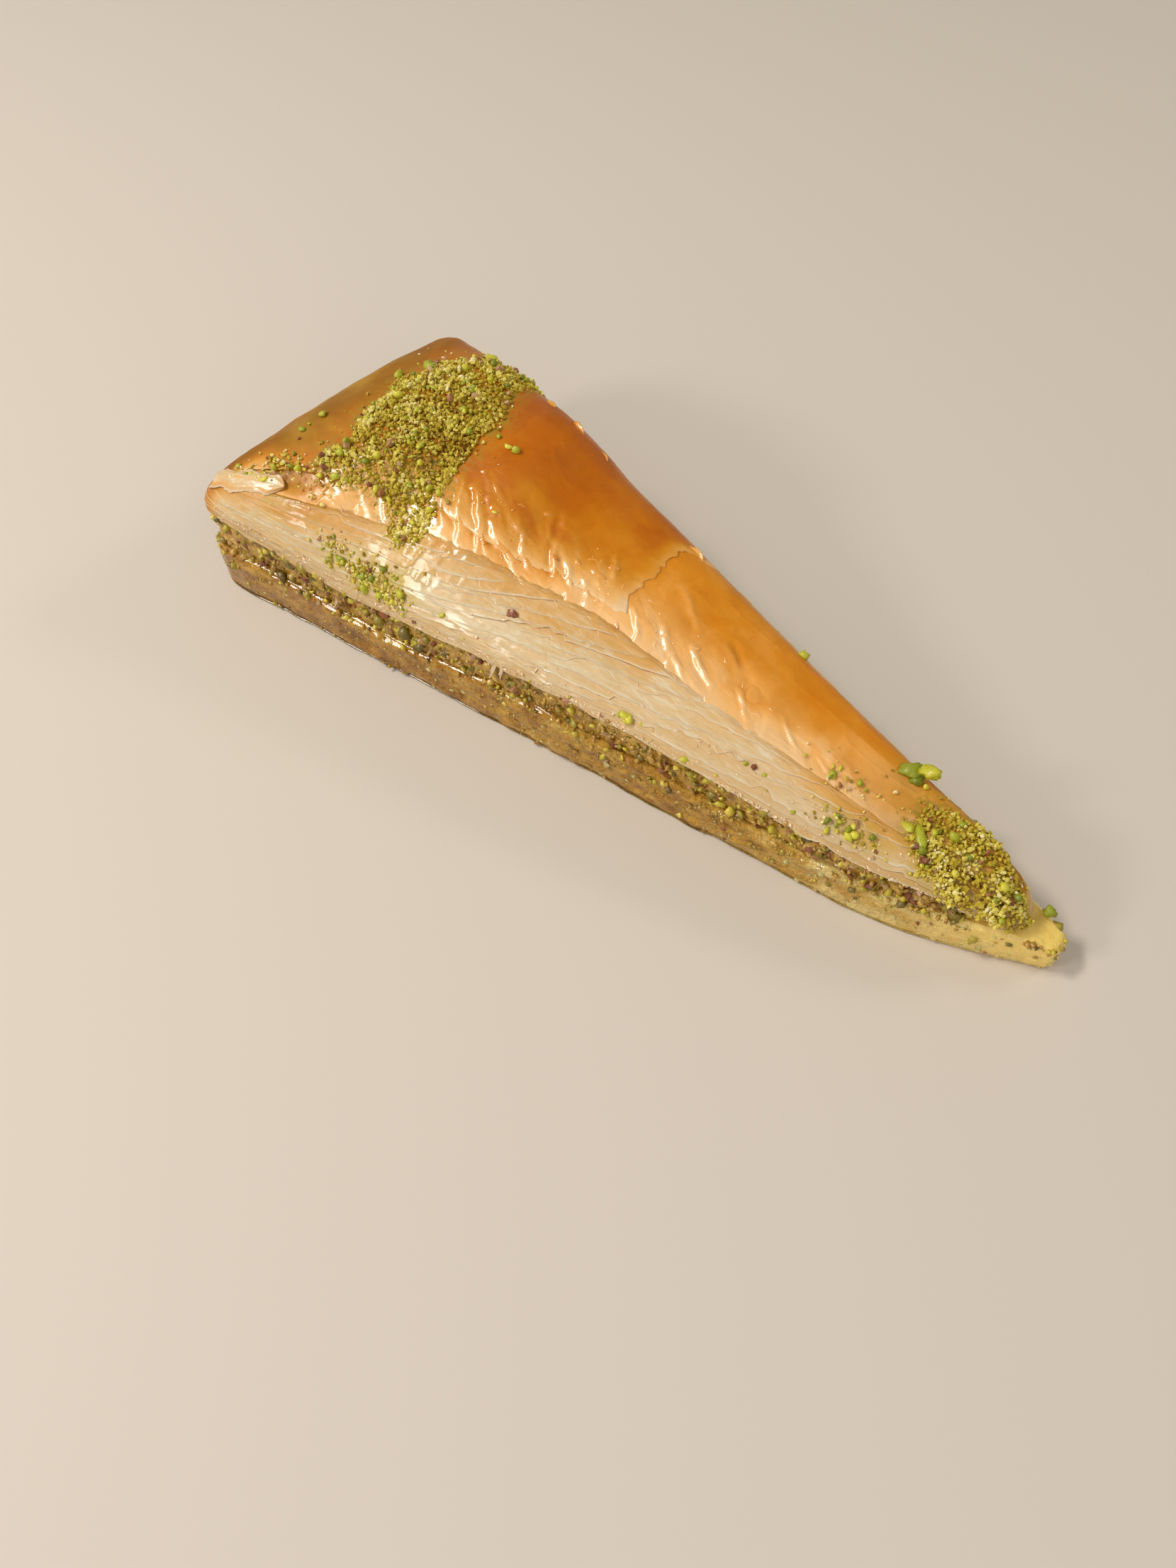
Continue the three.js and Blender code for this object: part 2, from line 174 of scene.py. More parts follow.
def inside(x, y, corners):
    """Distance in from the edge of a polygon in plan, below 0 outside it."""
    corners = np.array(corners, float)
    distance = np.full(np.shape(x), 1e9)
    within = np.zeros(np.shape(x), bool)
    for (ax, ay), (bx, by) in zip(corners, np.roll(corners, -1, 0)):
        along = (x - ax) * (bx - ax) + (y - ay) * (by - ay)
        t = np.clip(along / ((bx - ax) ** 2 + (by - ay) ** 2), 0, 1)
        distance = np.minimum(distance, np.hypot(x - ax - t * (bx - ax), y - ay - t * (by - ay)))
        crosses = ((ay > y) != (by > y)) & (x < (bx - ax) * (y - ay) / (by - ay + 1e-9) + ax)
        within ^= crosses
    return np.where(within, distance, -distance)


def spread(*parts):
    """Coordinates, stretched to one shape and put side by side as points."""
    return np.stack(np.broadcast_arrays(*parts), -1)


def unit(vectors):
    """Vectors scaled to length one."""
    return vectors / np.maximum(np.linalg.norm(vectors, axis=-1, keepdims=True), 1e-9)


# ---------------------------------------------------------------- form of the wedge

def front_edge(x):
    """Near cut side: a straight line that turns in at the tip with a power curve."""
    pinch = PINCH_DEPTH * (np.maximum(0, x - PINCH_START) / PINCH_LENGTH) ** 1.7
    return -(FRONT_HALF - FRONT_SLOPE * x - pinch)


def back_edge(x):
    """Far cut side: a straight line."""
    return BACK_AT_TIP + BACK_SLOPE * (LENGTH - x)


def arc_edge(y):
    """Baked outer end: a shallow, slightly slanted parabola."""
    return -ARC_BACK + ARC_SKEW * y + ARC_CURVE * y * y


def ridge_height(x):
    """Height of the ridge, read between the named stations and averaged over 12 mm."""
    return knots(x, RIDGE_X, RIDGE_Z, 3)


def base_top(x):
    """Top of the base: a level with a slow sway, lower towards the tip."""
    sway = 0.9 * np.cos(2 * np.pi * x / 88) * fade(120, 170, x)
    return BASE_HEIGHT - 1.7 * smooth(110, 160, x) - 2.6 * smooth(174, 189, x) + sway


def filling_top(x):
    """Top of the filling: the base's top plus a thickness that runs out before the tip."""
    wide = FILLING_HEIGHT + 1.2 * fade(0, 30, x) - 2.2 * smooth(120, 165, x)
    return base_top(x) + wide * fade(160, 180, x) + 0.4


class Outline:
    """Closed loop seen from above: middle of the baked end, near side, tip, far side and back.

    Point j and point count - j face each other across the piece. The last five numbers are how
    many points lie on half the baked end, a corner, the start of a side, the rest of it and half
    the tip."""

    def __init__(self, tip_x, tip_round, corner_round, inset=0.0, arc_inset=0.0, back_inset=0.0,
                 arc=70, corner=14, settle=12, side=262, tip=12):
        halves = []
        for hand in (-1, 1):
            def width(x, hand=hand):
                edge = -front_edge(x) if hand < 0 else back_edge(x) - back_inset
                return edge - inset
            wide = width(2.0)
            y = hand * (wide - corner_round) * np.arange(arc) / arc
            points = [np.stack([arc_edge(y) + arc_inset, y], 1)]
            corner_x = arc_edge(hand * (wide - corner_round)) + arc_inset
            turn = np.arange(corner) / corner * np.pi / 2
            points.append(np.stack([corner_x + corner_round * (1 - np.cos(turn)),
                                    hand * (wide - corner_round * (1 - np.sin(turn)))], 1))
            last_x = tip_x - tip_round
            near = np.linspace(corner_x + corner_round, 12.0, settle + 1)[:-1]
            x = np.concatenate([near, np.linspace(12.0, last_x, side)])
            eased = fade(2, 16, x)
            points.append(np.stack([x, hand * (width(x) * (1 - eased) + wide * eased)], 1))
            middle = (front_edge(last_x) + back_edge(last_x)) / 2
            turn = np.arange(1, tip + 1) / tip * np.pi / 2
            y = middle + (hand * width(last_x) - middle) * np.cos(turn)
            points.append(np.stack([last_x + tip_round * np.sin(turn), y], 1))
            halves.append(np.concatenate(points))
        self.points = np.concatenate([halves[0], halves[1][1:-1][::-1]])
        self.count = len(self.points)
        self.half = self.count // 2
        self.x, self.y = self.points.T
        self.hand = np.where(np.arange(self.count) <= self.half, -1.0, 1.0)
        along = np.roll(self.points, -1, 0) - np.roll(self.points, 1, 0)
        along = unit(along + np.roll(along, 1, 0) + np.roll(along, -1, 0))
        self.out = np.stack([along[:, 1], -along[:, 0]], 1)
        steps = np.linalg.norm(np.roll(self.points, -1, 0) - self.points, axis=1)
        self.length = np.concatenate([[0.0], np.cumsum(steps)])
        # 1 on the baked outer end, 0 on the cut sides
        behind = arc_edge(self.y) + arc_inset
        self.baked = fade(behind, behind + 8, self.x)
        # 1 on the near cut side, 0 on the far side and on the baked end
        self.near = (self.hand < 0) * (1 - self.baked)

    def pushed(self, out, index=slice(None)):
        """x and y of the outline, or of some of its points, pushed outwards by out."""
        return self.x[index] + self.out[index, 0] * out, self.y[index] + self.out[index, 1] * out


def dome_power(line):
    """How square the dome is: shallow on the near side, steep on the far side and baked end."""
    near = 1.65 + 1.5 * fade(0, 45, line.x)
    power = np.where(line.hand < 0, near, 3.6) * (1 - line.baked) + 3.0 * line.baked
    end = smooth(166, 178, line.x)
    return power * (1 - end) + 2.4 * end


def heap_depth(x, y):
    """Depth of the ground pistachio: a flat-topped ellipse with a soft rim for each heap."""
    depth = 0.0
    for cx, cy, long, wide, turn, thick in HEAPS:
        u = (x - cx) * math.cos(turn) + (y - cy) * math.sin(turn)
        v = -(x - cx) * math.sin(turn) + (y - cy) * math.cos(turn)
        depth = depth + thick * fade(0.55, 1.05, np.hypot(u / long, v / wide))
    return depth


def dome(line, degrees, out=0.0):
    """Point of the upper pastry above each outline point.

    The plan runs from the outline to the ridge as 1 - cos(angle) ^ (2 / power), the height from
    the rim to the ridge as sin(angle) ^ (2 / power)."""
    angle = np.radians(np.clip(degrees, 0, 90))
    power = dome_power(line)
    inward = 1 - np.maximum(0, np.cos(angle)) ** (2 / power)
    rise = np.sin(angle) ** (2 / power)
    spine_x = np.clip(line.x, SPINE_START[0], SPINE_END[0])
    part = (spine_x - SPINE_START[0]) / (SPINE_END[0] - SPINE_START[0])
    spine_y = SPINE_START[1] + (SPINE_END[1] - SPINE_START[1]) * part
    x = line.x + (spine_x - line.x) * inward + line.out[:, 0] * out
    y = line.y + (spine_y - line.y) * inward + line.out[:, 1] * out
    low = filling_top(x) + NODE_GAP
    z = low + (ridge_height(x) - low) * rise
    return spread(x, y, z)


def dome_normal(line, degrees):
    """Outward direction of the dome, from its slope along the outline and up the dome."""
    degrees = np.clip(degrees, 0.5, 89.3) + np.zeros(line.count)
    here = dome(line, degrees)
    along = np.roll(here, -1, -2) - np.roll(here, 1, -2)
    up = dome(line, degrees + 0.5) - dome(line, degrees - 0.5)
    return unit(np.cross(along, up))


# ---------------------------------------------------------------- meshes

def grid_faces(rows, columns, wrap=False, start=0):
    """Four-sided faces of a grid of points; columns close on themselves if wrap is set."""
    r = np.arange(rows - 1)[:, None]
    c = np.arange(columns if wrap else columns - 1)[None, :]
    n = (c + 1) % columns
    low, high = r * columns, (r + 1) * columns
    faces = np.stack([low + c, low + n, high + n, high + c], -1)
    return faces.reshape(-1, 4) + start


def ladder_faces(count, start=0, up=True):
    """Faces across a closed ring of an even number of points, rung by rung."""
    j = np.arange(count // 2 - 1)
    faces = np.stack([j, j + 1, count - 2 - j, count - 1 - j], 1)
    return (faces if up else faces[:, ::-1]) + start


def strip_faces(low, high):
    """Faces between two runs of point numbers that lie side by side."""
    return np.stack([low[:-1], low[1:], high[1:], high[:-1]], 1)


def tube_faces(rows, around, both_ends=True):
    """Faces of rings joined into a tube, closed across its first ring or across both ends."""
    faces = [grid_faces(rows, around, wrap=True), ladder_faces(around, 0, up=False)]
    if both_ends:
        faces.append(ladder_faces(around, (rows - 1) * around))
    return np.concatenate(faces)


def weld(mesh):
    """Merges the points that lie on one another, such as those along a ridge and at a pole."""
    work = bmesh.new()
    work.from_mesh(mesh)
    bmesh.ops.remove_doubles(work, verts=work.verts, dist=1e-6)
    work.to_mesh(mesh)
    work.free()


def add_object(name, data):
    """Object of this name in the scene, made of a mesh, a light or a camera."""
    added = bpy.data.objects.new(name, data)
    bpy.context.scene.collection.objects.link(added)
    return added


def make_piece(name, points, faces, paint, stands_for=(), values=None, uv=None, flat=False,
               loose=False):
    """Makes a mesh in the shared frame from points in millimetres and faces, and attaches it to the
    root body; the parts it stands for are hidden.

    Points that meet are welded, except in piles of loose shapes."""
    moved = (np.reshape(points, (-1, 3)) - (MIDDLE_X, MIDDLE_Y, 0.0)) / 1000.0
    mesh = bpy.data.meshes.new(name)
    mesh.from_pydata(moved, [], faces)
    mesh.validate()
    for key, numbers in (values or {}).items():
        layer = mesh.attributes.new(key, "FLOAT", "POINT")
        layer.data.foreach_set("value", np.asarray(numbers, float).ravel())
    if uv is not None:
        layer = mesh.uv_layers.new(name="leaf")
        corners = np.empty(len(mesh.loops), np.int32)
        mesh.loops.foreach_get("vertex_index", corners)
        layer.data.foreach_set("uv", np.asarray(uv, float).reshape(-1, 2)[corners].ravel())
    mesh.polygons.foreach_set("use_smooth", np.full(len(mesh.polygons), not flat))
    if not loose:
        weld(mesh)
    mesh.materials.append(paint)
    piece = add_object(name, mesh)
    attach(piece, "root")
    for node in stands_for:
        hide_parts(node)


class Pile:
    """Collects grids and loose shapes that end up in one piece."""

    def __init__(self):
        self.points, self.faces, self.values, self.uv, self.size = [], [], {}, [], 0

    def add(self, points, faces, uv=None, **values):
        """Adds one shape; a value is one number for the shape or one for each of its points."""
        points = np.asarray(points, float).reshape(-1, 3)
        self.points.append(points)
        self.faces.append(np.asarray(faces) + self.size)
        self.size += len(points)
        for key, numbers in values.items():
            numbers = np.broadcast_to(np.asarray(numbers, float), (len(points),))
            self.values.setdefault(key, []).append(numbers)
        if uv is not None:
            self.uv.append(np.asarray(uv, float).reshape(-1, 2))

    def make(self, name, paint, slot, stands_for=(), flat=False):
        """Makes one piece of all the shapes."""
        values = {key: np.concatenate(parts) for key, parts in self.values.items()}
        uv = np.concatenate(self.uv) if self.uv else None
        make_piece(name, np.concatenate(self.points), np.concatenate(self.faces), paint,
                   stands_for, values, uv, flat, True)


# ---------------------------------------------------------------- shader maths

def wire_math(operation, swapped=False):
    """Operator of a wire that adds a math node; swapped where the wire comes second."""
    def operator(wire, other):
        first, second = (other, wire) if swapped else (wire, other)
        return wire.shader.node("ShaderNodeMath", {"operation": operation}, {0: first, 1: second})
    return operator


class Wire:
    """Shader socket that can be used in sums, differences, products and powers."""

    def __init__(self, shader, socket):
        self.shader, self.socket = shader, socket

    __add__, __radd__ = wire_math("ADD"), wire_math("ADD", True)
    __sub__, __rsub__ = wire_math("SUBTRACT"), wire_math("SUBTRACT", True)
    __mul__, __rmul__ = wire_math("MULTIPLY"), wire_math("MULTIPLY", True)
    __pow__ = wire_math("POWER")


class Shader:
    """One material and the nodes that are added to it."""

    def __init__(self, name):
        self.material = bpy.data.materials.new(name)
        self.material.use_nodes = True
        self.tree = self.material.node_tree
        self.tree.nodes.clear()
        self.place = None

    def node(self, kind, settings=None, inputs=None, out=0):
        """Adds a node, sets its settings, then its sockets, and returns one of its outputs."""
        node = self.tree.nodes.new(kind)
        for key, value in (settings or {}).items():
            if key == "stops":
                stops = node.color_ramp.elements
                stops.remove(stops[1])
                stops[0].position, stops[0].color = value[0][0], shade(value[0][1])
                for position, code in value[1:]:
                    stops.new(position).color = shade(code)
            else:
                setattr(node, key, value)
        for key, value in (inputs or {}).items():
            socket = node.inputs[key]
            if isinstance(value, Wire):
                self.tree.links.new(value.socket, socket)
            else:
                socket.default_value = value
        return Wire(self, node.outputs[out])

    def spot(self):
        """Object coordinates, in metres."""
        if self.place is None:
            self.place = self.node("ShaderNodeTexCoord", out="Object")
        return self.place

    def value(self, name):
        """Number stored on the mesh."""
        return self.node("ShaderNodeAttribute", {"attribute_name": name}, out="Fac")

    def noise(self, scale, detail, roughness, distortion=0.0, place=None, stretch=None):
        """Noise from 0 to 1, mostly near the middle; scale is in lumps a metre.

        stretch multiplies the coordinates by one number for each axis."""
        place = self.spot() if place is None else place
        if stretch is not None:
            place = self.node("ShaderNodeMapping", {}, {"Vector": place, "Scale": stretch})
        return self.node("ShaderNodeTexNoise", {}, {
            "Vector": place, "Scale": scale, "Detail": detail, "Roughness": roughness,
            "Distortion": distortion})

    def step(self, wire, low, high):
        """Smooth step of a socket between two numbers."""
        return self.node("ShaderNodeMapRange", {"interpolation_type": "SMOOTHSTEP"},
                         {"Value": wire, "From Min": low, "From Max": high})

    def ramp(self, wire, stops):
        """Colour read between stops, each a position and a six-digit code."""
        return self.node("ShaderNodeValToRGB", {"stops": stops}, {"Fac": wire}, "Color")

    def mix(self, factor, first, second, how="MIX"):
        """Colour between two colours, each a socket, a six-digit code or linear numbers."""
        settings = {"data_type": "RGBA", "blend_type": how}
        node = self.node("ShaderNodeMix", settings, {"Factor": factor}, "Result")
        sockets = [s for s in node.socket.node.inputs if s.type == "RGBA"]
        for socket, value in zip(sockets, (first, second)):
            if isinstance(value, Wire):
                self.tree.links.new(value.socket, socket)
            else:
                socket.default_value = shade(value) if isinstance(value, str) else value
        return Wire(self, [s for s in node.socket.node.outputs if s.type == "RGBA"][0])

    def bump(self, height, distance, strength=1.0):
        """Direction of the surface, tilted by the slope of height times distance in metres."""
        return self.node("ShaderNodeBump", {}, {
            "Height": height, "Distance": distance, "Strength": strength}, "Normal")

    def surface(self, **inputs):
        """Ends the material with the main shader; names use _ for a space."""
        named = {key.replace("_", " "): value for key, value in inputs.items()}
        shader = self.node("ShaderNodeBsdfPrincipled", {"subsurface_method": "RANDOM_WALK"}, named)
        output = self.tree.nodes.new("ShaderNodeOutputMaterial")
        self.tree.links.new(shader.socket, output.inputs["Surface"])
        return self.material


def shade(code):
    """Linear colour, with full cover, of a six-digit sRGB code."""
    parts = [int(code[i:i + 2], 16) / 255 for i in (0, 2, 4)]
    linear = [c / 12.92 if c <= 0.04045 else ((c + 0.055) / 1.055) ** 2.4 for c in parts]
    return (*linear, 1.0)


# bake runs from 0, pale dough, to 1, dark crust
BAKE_STOPS = [
    (0.0, "F6D6AB"), (0.18, "F6C88E"), (0.32, "F7B96C"), (0.46, "EBA349"), (0.6, "DA8A1C"),
    (0.7, "D07A08"), (0.82, "BF6302"), (1.0, "8E4802"),
]


def make_leaf_paint():
    """Thin pastry leaves: pale and waxy, a painted highlight along the lip, painted honey shade in
    the creases.
    """
    s = Shader("fanned leaf pastry")
    uv = s.node("ShaderNodeUVMap", {"uv_map": "leaf"}, out="UV")
    lines = s.noise(1.0, 4.0, 0.6, place=uv, stretch=(0.10, 2.6, 1.0))
    strokes = s.noise(1.0, 4.0, 0.6, 0.9, place=uv, stretch=(0.24, 1.25, 1.0))
    patch = s.noise(110.0, 3.0, 0.55)
    sheer = s.step(s.noise(150.0, 3.0, 0.5, stretch=(0.6, 1.0, 1.0)), 0.50, 0.56)
    bake = s.value("bake") + (patch - 0.5) * 0.16 + (lines - 0.5) * 0.08 + sheer * 0.05
    color = s.ramp(bake, BAKE_STOPS)
    # painted highlight and shade: light streaks for satin highlights, honey ones for shade lines;
    # partly tone
    color = s.mix(s.step(lines, 0.56, 0.74) * 0.45, color, "FFF0D4")
    color = s.mix(s.step(1.0 - lines, 0.56, 0.74) * 0.35, color, "E9B468")
    pale = s.step(1.0 - bake, 0.58, 0.86)
    color = s.mix(s.step(strokes, 0.50, 0.66) * pale * 0.6, color, "FFF0D6")
    color = s.mix(s.step(1.0 - strokes, 0.54, 0.70) * 0.35, color, "DCA860")
    # painted shade: darker honey in the creases under each leaf
    color = s.mix(s.value("crease") * 0.7, color, "D99A48")
    color = s.mix(s.value("soaked") * 0.5, color, "C79E5A")
    # painted highlight: the lip of each leaf is painted lighter, as if it caught the light
    color = s.mix(s.value("lip") * 0.75, color, "FFF3DE")
    # painted light: the tip half of the leaves is painted brighter, where the light falls off
    along = s.node("ShaderNodeSeparateXYZ", {}, {"Vector": s.spot()}, out="X")
    painted_light_tint = s.mix(s.step(along, -0.01, 0.02), (0.79, 0.79, 0.73, 1.0), (0.89, 0.885, 0.85, 1.0))
    color = s.mix(1.0, color, painted_light_tint, how="MULTIPLY")
    dust = s.value("dust") * s.step(s.noise(600.0, 4.0, 0.7), 0.30, 0.54)
    color = s.mix(dust, color, "BC9E1E")
    fine = s.noise(900.0, 3.0, 0.6)
    glint = s.noise(620.0, 2.0, 0.5, stretch=(0.5, 1.0, 1.0))
    damp = s.step(s.noise(170.0, 3.0, 0.6), 0.45, 0.58)
    return s.surface(
        Base_Color=color, Roughness=0.30 + 0.25 * fine,
        Normal=s.bump(lines * 0.25 + fine * 0.2 + glint * 0.7 + strokes * 0.5, 0.0003, 0.8),
        Subsurface_Weight=0.22, Subsurface_Radius=(1.0, 0.62, 0.35), Subsurface_Scale=0.0009,
        IOR=1.45, Specular_IOR_Level=0.25, Coat_Weight=0.05 + 0.4 * damp, Coat_Roughness=0.08)


def make_crust_paint():
    """Glazed crust: amber over the bake in sheer overlapping tones, glossier where wet."""
    s = Shader("glazed golden crust")
    patch = s.noise(60.0, 4.0, 0.55)
    streak = s.noise(160.0, 4.0, 0.6, stretch=(1.0, 2.4, 1.0))
    sheer = s.step(s.noise(75.0, 4.0, 0.5, 0.6), 0.50, 0.515)
    second = s.noise(120.0, 3.0, 0.5, 0.4, stretch=(1.3, 0.8, 1.0))
    second = s.step(second, 0.55, 0.57)
    bake = s.value("bake") + (patch - 0.5) * 0.12 + (streak - 0.5) * 0.08
    bake = bake + sheer * 0.03 - second * 0.02
    color = s.ramp(bake, BAKE_STOPS)
    color = s.mix(s.value("scorch") * 0.85, color, s.ramp(patch, [
        (0.35, "6C4E06"), (0.5, "8A6A12"), (0.65, "AA8C2C")]))
    dust = s.value("dust") * s.step(s.noise(900.0, 3.0, 0.7), 0.42, 0.6)
    color = s.mix(dust, color, "A0882A")
    wet = s.step(s.noise(95.0, 3.0, 0.55), 0.42, 0.6)
    fine = s.noise(1500.0, 3.0, 0.6)
    soft = s.noise(330.0, 3.0, 0.5)
    turned = s.node("ShaderNodeMapping", {}, {
        "Vector": s.spot(), "Rotation": (0.0, 0.0, math.radians(30)), "Scale": (0.5, 1.0, 0.7)})
    crumple = s.noise(260.0, 3.0, 0.5, 0.8, place=turned)
    coat = (0.05 + wet * 0.25 + s.value("gloss") * 0.65) * (1.0 - 0.95 * s.value("scorch"))
    return s.surface(
        Base_Color=color, Roughness=0.30 + 0.15 * fine + 0.35 * s.value("scorch"),
        Normal=s.bump(soft * 0.6 + fine * 0.12 + crumple * s.value("gloss") * 2.2, 0.0003, 0.8),
        Subsurface_Weight=0.12, Subsurface_Radius=(1.0, 0.5, 0.2), Subsurface_Scale=0.0015,
        IOR=1.42, Specular_IOR_Level=0.25, Coat_Weight=coat, Coat_Roughness=0.13)


def make_base_paint():
    """Syrup soaked base: translucent tan dough, wet and lumpy, darker at the foot."""
    s = Shader("soaked base pastry")
    lines = s.noise(1.0, 3.0, 0.55, stretch=(60.0, 60.0, 380.0))
    patch = s.noise(190.0, 5.0, 0.65, stretch=(1.0, 1.0, 1.5))
    fleck = s.noise(1100.0, 3.0, 0.6)
    bake = s.value("bake") + (patch - 0.5) * 1.3 + (lines - 0.5) * 0.1 + (fleck - 0.5) * 0.15
    color = s.ramp(bake, [
        (0.0, "ECD084"), (0.3, "CE9E38"), (0.6, "A8741E"), (0.85, "80540C"), (1.0, "603C0C")])
    color = s.mix(s.value("glow"), color, "FFD772")
    lump = s.noise(620.0, 3.0, 0.6)
    return s.surface(
        Base_Color=color, Roughness=0.32 + 0.2 * fleck,
        Normal=s.bump((lump * 1.0 + fleck * 0.5) * (1.0 - 0.8 * s.value("glow")), 0.0024, 1.0),
        Subsurface_Weight=0.5, Subsurface_Radius=(1.0, 0.6, 0.25), Subsurface_Scale=0.0028,
        IOR=1.45, Specular_IOR_Level=0.15, Coat_Weight=0.75, Coat_Roughness=0.06)


def make_filling_paint():
    """Sticky ground filling: golden brown paste, wet."""
    s = Shader("ground pistachio filling")
    grain = s.noise(380.0, 5.0, 0.7)
    color = s.ramp(grain, [(0.25, "5A3E0C"), (0.42, "A0761E"), (0.56, "C89C3C"), (0.75, "E6C874")])
    return s.surface(
        Base_Color=color, Roughness=0.25, Normal=s.bump(grain, 0.0007, 1.0),
        Subsurface_Weight=0.25, Subsurface_Radius=(1.0, 0.7, 0.3), Subsurface_Scale=0.0012,
        IOR=1.45, Coat_Weight=0.6, Coat_Roughness=0.05)


def make_nut_paint(name, stops, gloss):
    """Ground nut: each crumb has its own tone, with a mottled, slightly oily surface."""
    s = Shader(name)
    mottle = s.noise(1600.0, 3.0, 0.6)
    color = s.ramp(s.value("tone") + (mottle - 0.5) * 0.3, stops)
    return s.surface(
        Base_Color=color, Roughness=0.62 - 0.3 * gloss, Normal=s.bump(mottle, 0.0002, 0.8),
        IOR=1.45, Coat_Weight=gloss, Coat_Roughness=0.15)


def make_syrup_paint():
    """Syrup on the crust: as amber as what it lies on, mirror smooth."""
    s = Shader("syrup bead")
    return s.surface(Base_Color=s.ramp(s.value("bake"), BAKE_STOPS), Roughness=0.10, IOR=1.42,
                     Specular_IOR_Level=0.4, Coat_Weight=1.0, Coat_Roughness=0.02)


def make_shred_paint():
    """Threads and shreds of leaf: cream and glossy."""
    s = Shader("torn shred")
    color = s.ramp(s.value("tone"), [(0.0, "F0C48C"), (0.5, "F6D6AB"), (1.0, "FBE8CC")])
    return s.surface(Base_Color=color, Roughness=0.4, IOR=1.45, Coat_Weight=0.3, Coat_Roughness=0.1)


LEAF_PAINT = make_leaf_paint()
CRUST_PAINT = make_crust_paint()
BASE_PAINT = make_base_paint()
FILLING_PAINT = make_filling_paint()
SYRUP_PAINT = make_syrup_paint()
SHRED_PAINT = make_shred_paint()
NUT_LIGHT = make_nut_paint("ground pistachio", [
    (0.0, "84620C"), (0.15, "B09214"), (0.45, "CFB932"), (0.7, "E4D468"), (0.9, "F8EBB4")], 0.04)
NUT_GREEN = make_nut_paint("green pistachio bits", [
    (0.0, "76800E"), (0.35, "9EA41A"), (0.7, "C6C02A"), (1.0, "E6DA4A")], 0.2)
NUT_WET = make_nut_paint("syrup soaked pistachio", [
    (0.0, "5E480A"), (0.3, "94801A"), (0.65, "C0AC26"), (1.0, "E2CC4A")], 0.35)
NUT_SKIN = make_nut_paint("pistachio skins", [
    (0.0, "6A3010"), (0.4, "9A5A2C"), (0.75, "B88C5E"), (1.0, "D4B488")], 0.25)


# ---------------------------------------------------------------- outlines

UPPER = Outline(UPPER_END_X, 5.0, 3.5, inset=0.6, arc_inset=1.2, back_inset=0.8,
                settle=20, side=370)
BASE = Outline(TIP_X, 1.6, 6.0)
FILLING = Outline(FILLING_END_X, 4.0, 6.0, inset=1.2, arc_inset=1.6)


def ring_points(line):
    """The outline as points in space, for noise that runs unbroken round the loop."""
    return spread(line.x, line.y, 0.0)


def grain_noise(points, line, long, short, seed):
    """Noise that is long along the leaves: along x on the cut sides, along y on the baked end."""
    cut = noise(points, (long, short, short), seed)
    baked = noise(points, (short, long, short), seed)
    return cut * (1 - line.baked) + baked * line.baked


def crust_start(line, places, angles):
    """Dome angle where a sheet of crust starts, all the way round."""
    start = np.where(line.hand < 0, knots(line.x, places, angles), CRUST_START_FAR)
    start = start * (1 - line.baked) + CRUST_START_BAKED * line.baked
    end = smooth(165, 178, line.x)
    return start * (1 - end) + CRUST_START_TIP * end


def cover(points):
    """Distance inside the nearer area of ground pistachio, with a ragged edge."""
    x, y = points[..., 0], points[..., 1]
    ragged = 2.2 * layered_noise(points, 6.0, 3, 401)
    return np.maximum(inside(x, y, WIDE_COVER), inside(x, y, TIP_COVER)) + ragged


def dust_amount(points):
    """Green nut dust: strong under the ground pistachio, gone a few millimetres past it."""
    return smooth(-5.0, 1.0, cover(points))


# ---------------------------------------------------------------- base

GLOW_FROM, GLOW_TO = 146, 184  # where the base turns amber towards the tip
PALER_FROM, PALER_TO = 112, 168  # where the soaked dough turns paler


def base_swell(points):
    """Broad lumps of the base's side, in millimetres outwards."""
    return 0.5 * layered_noise(points, (8.0, 8.0, 4.0), 3, 5)


def base_unevenness(x):
    """How lumpy the base's side is: less so at the wide end and near the tip."""
    return 0.45 + 0.75 * smooth(26, 44, x) * fade(132, 152, x)


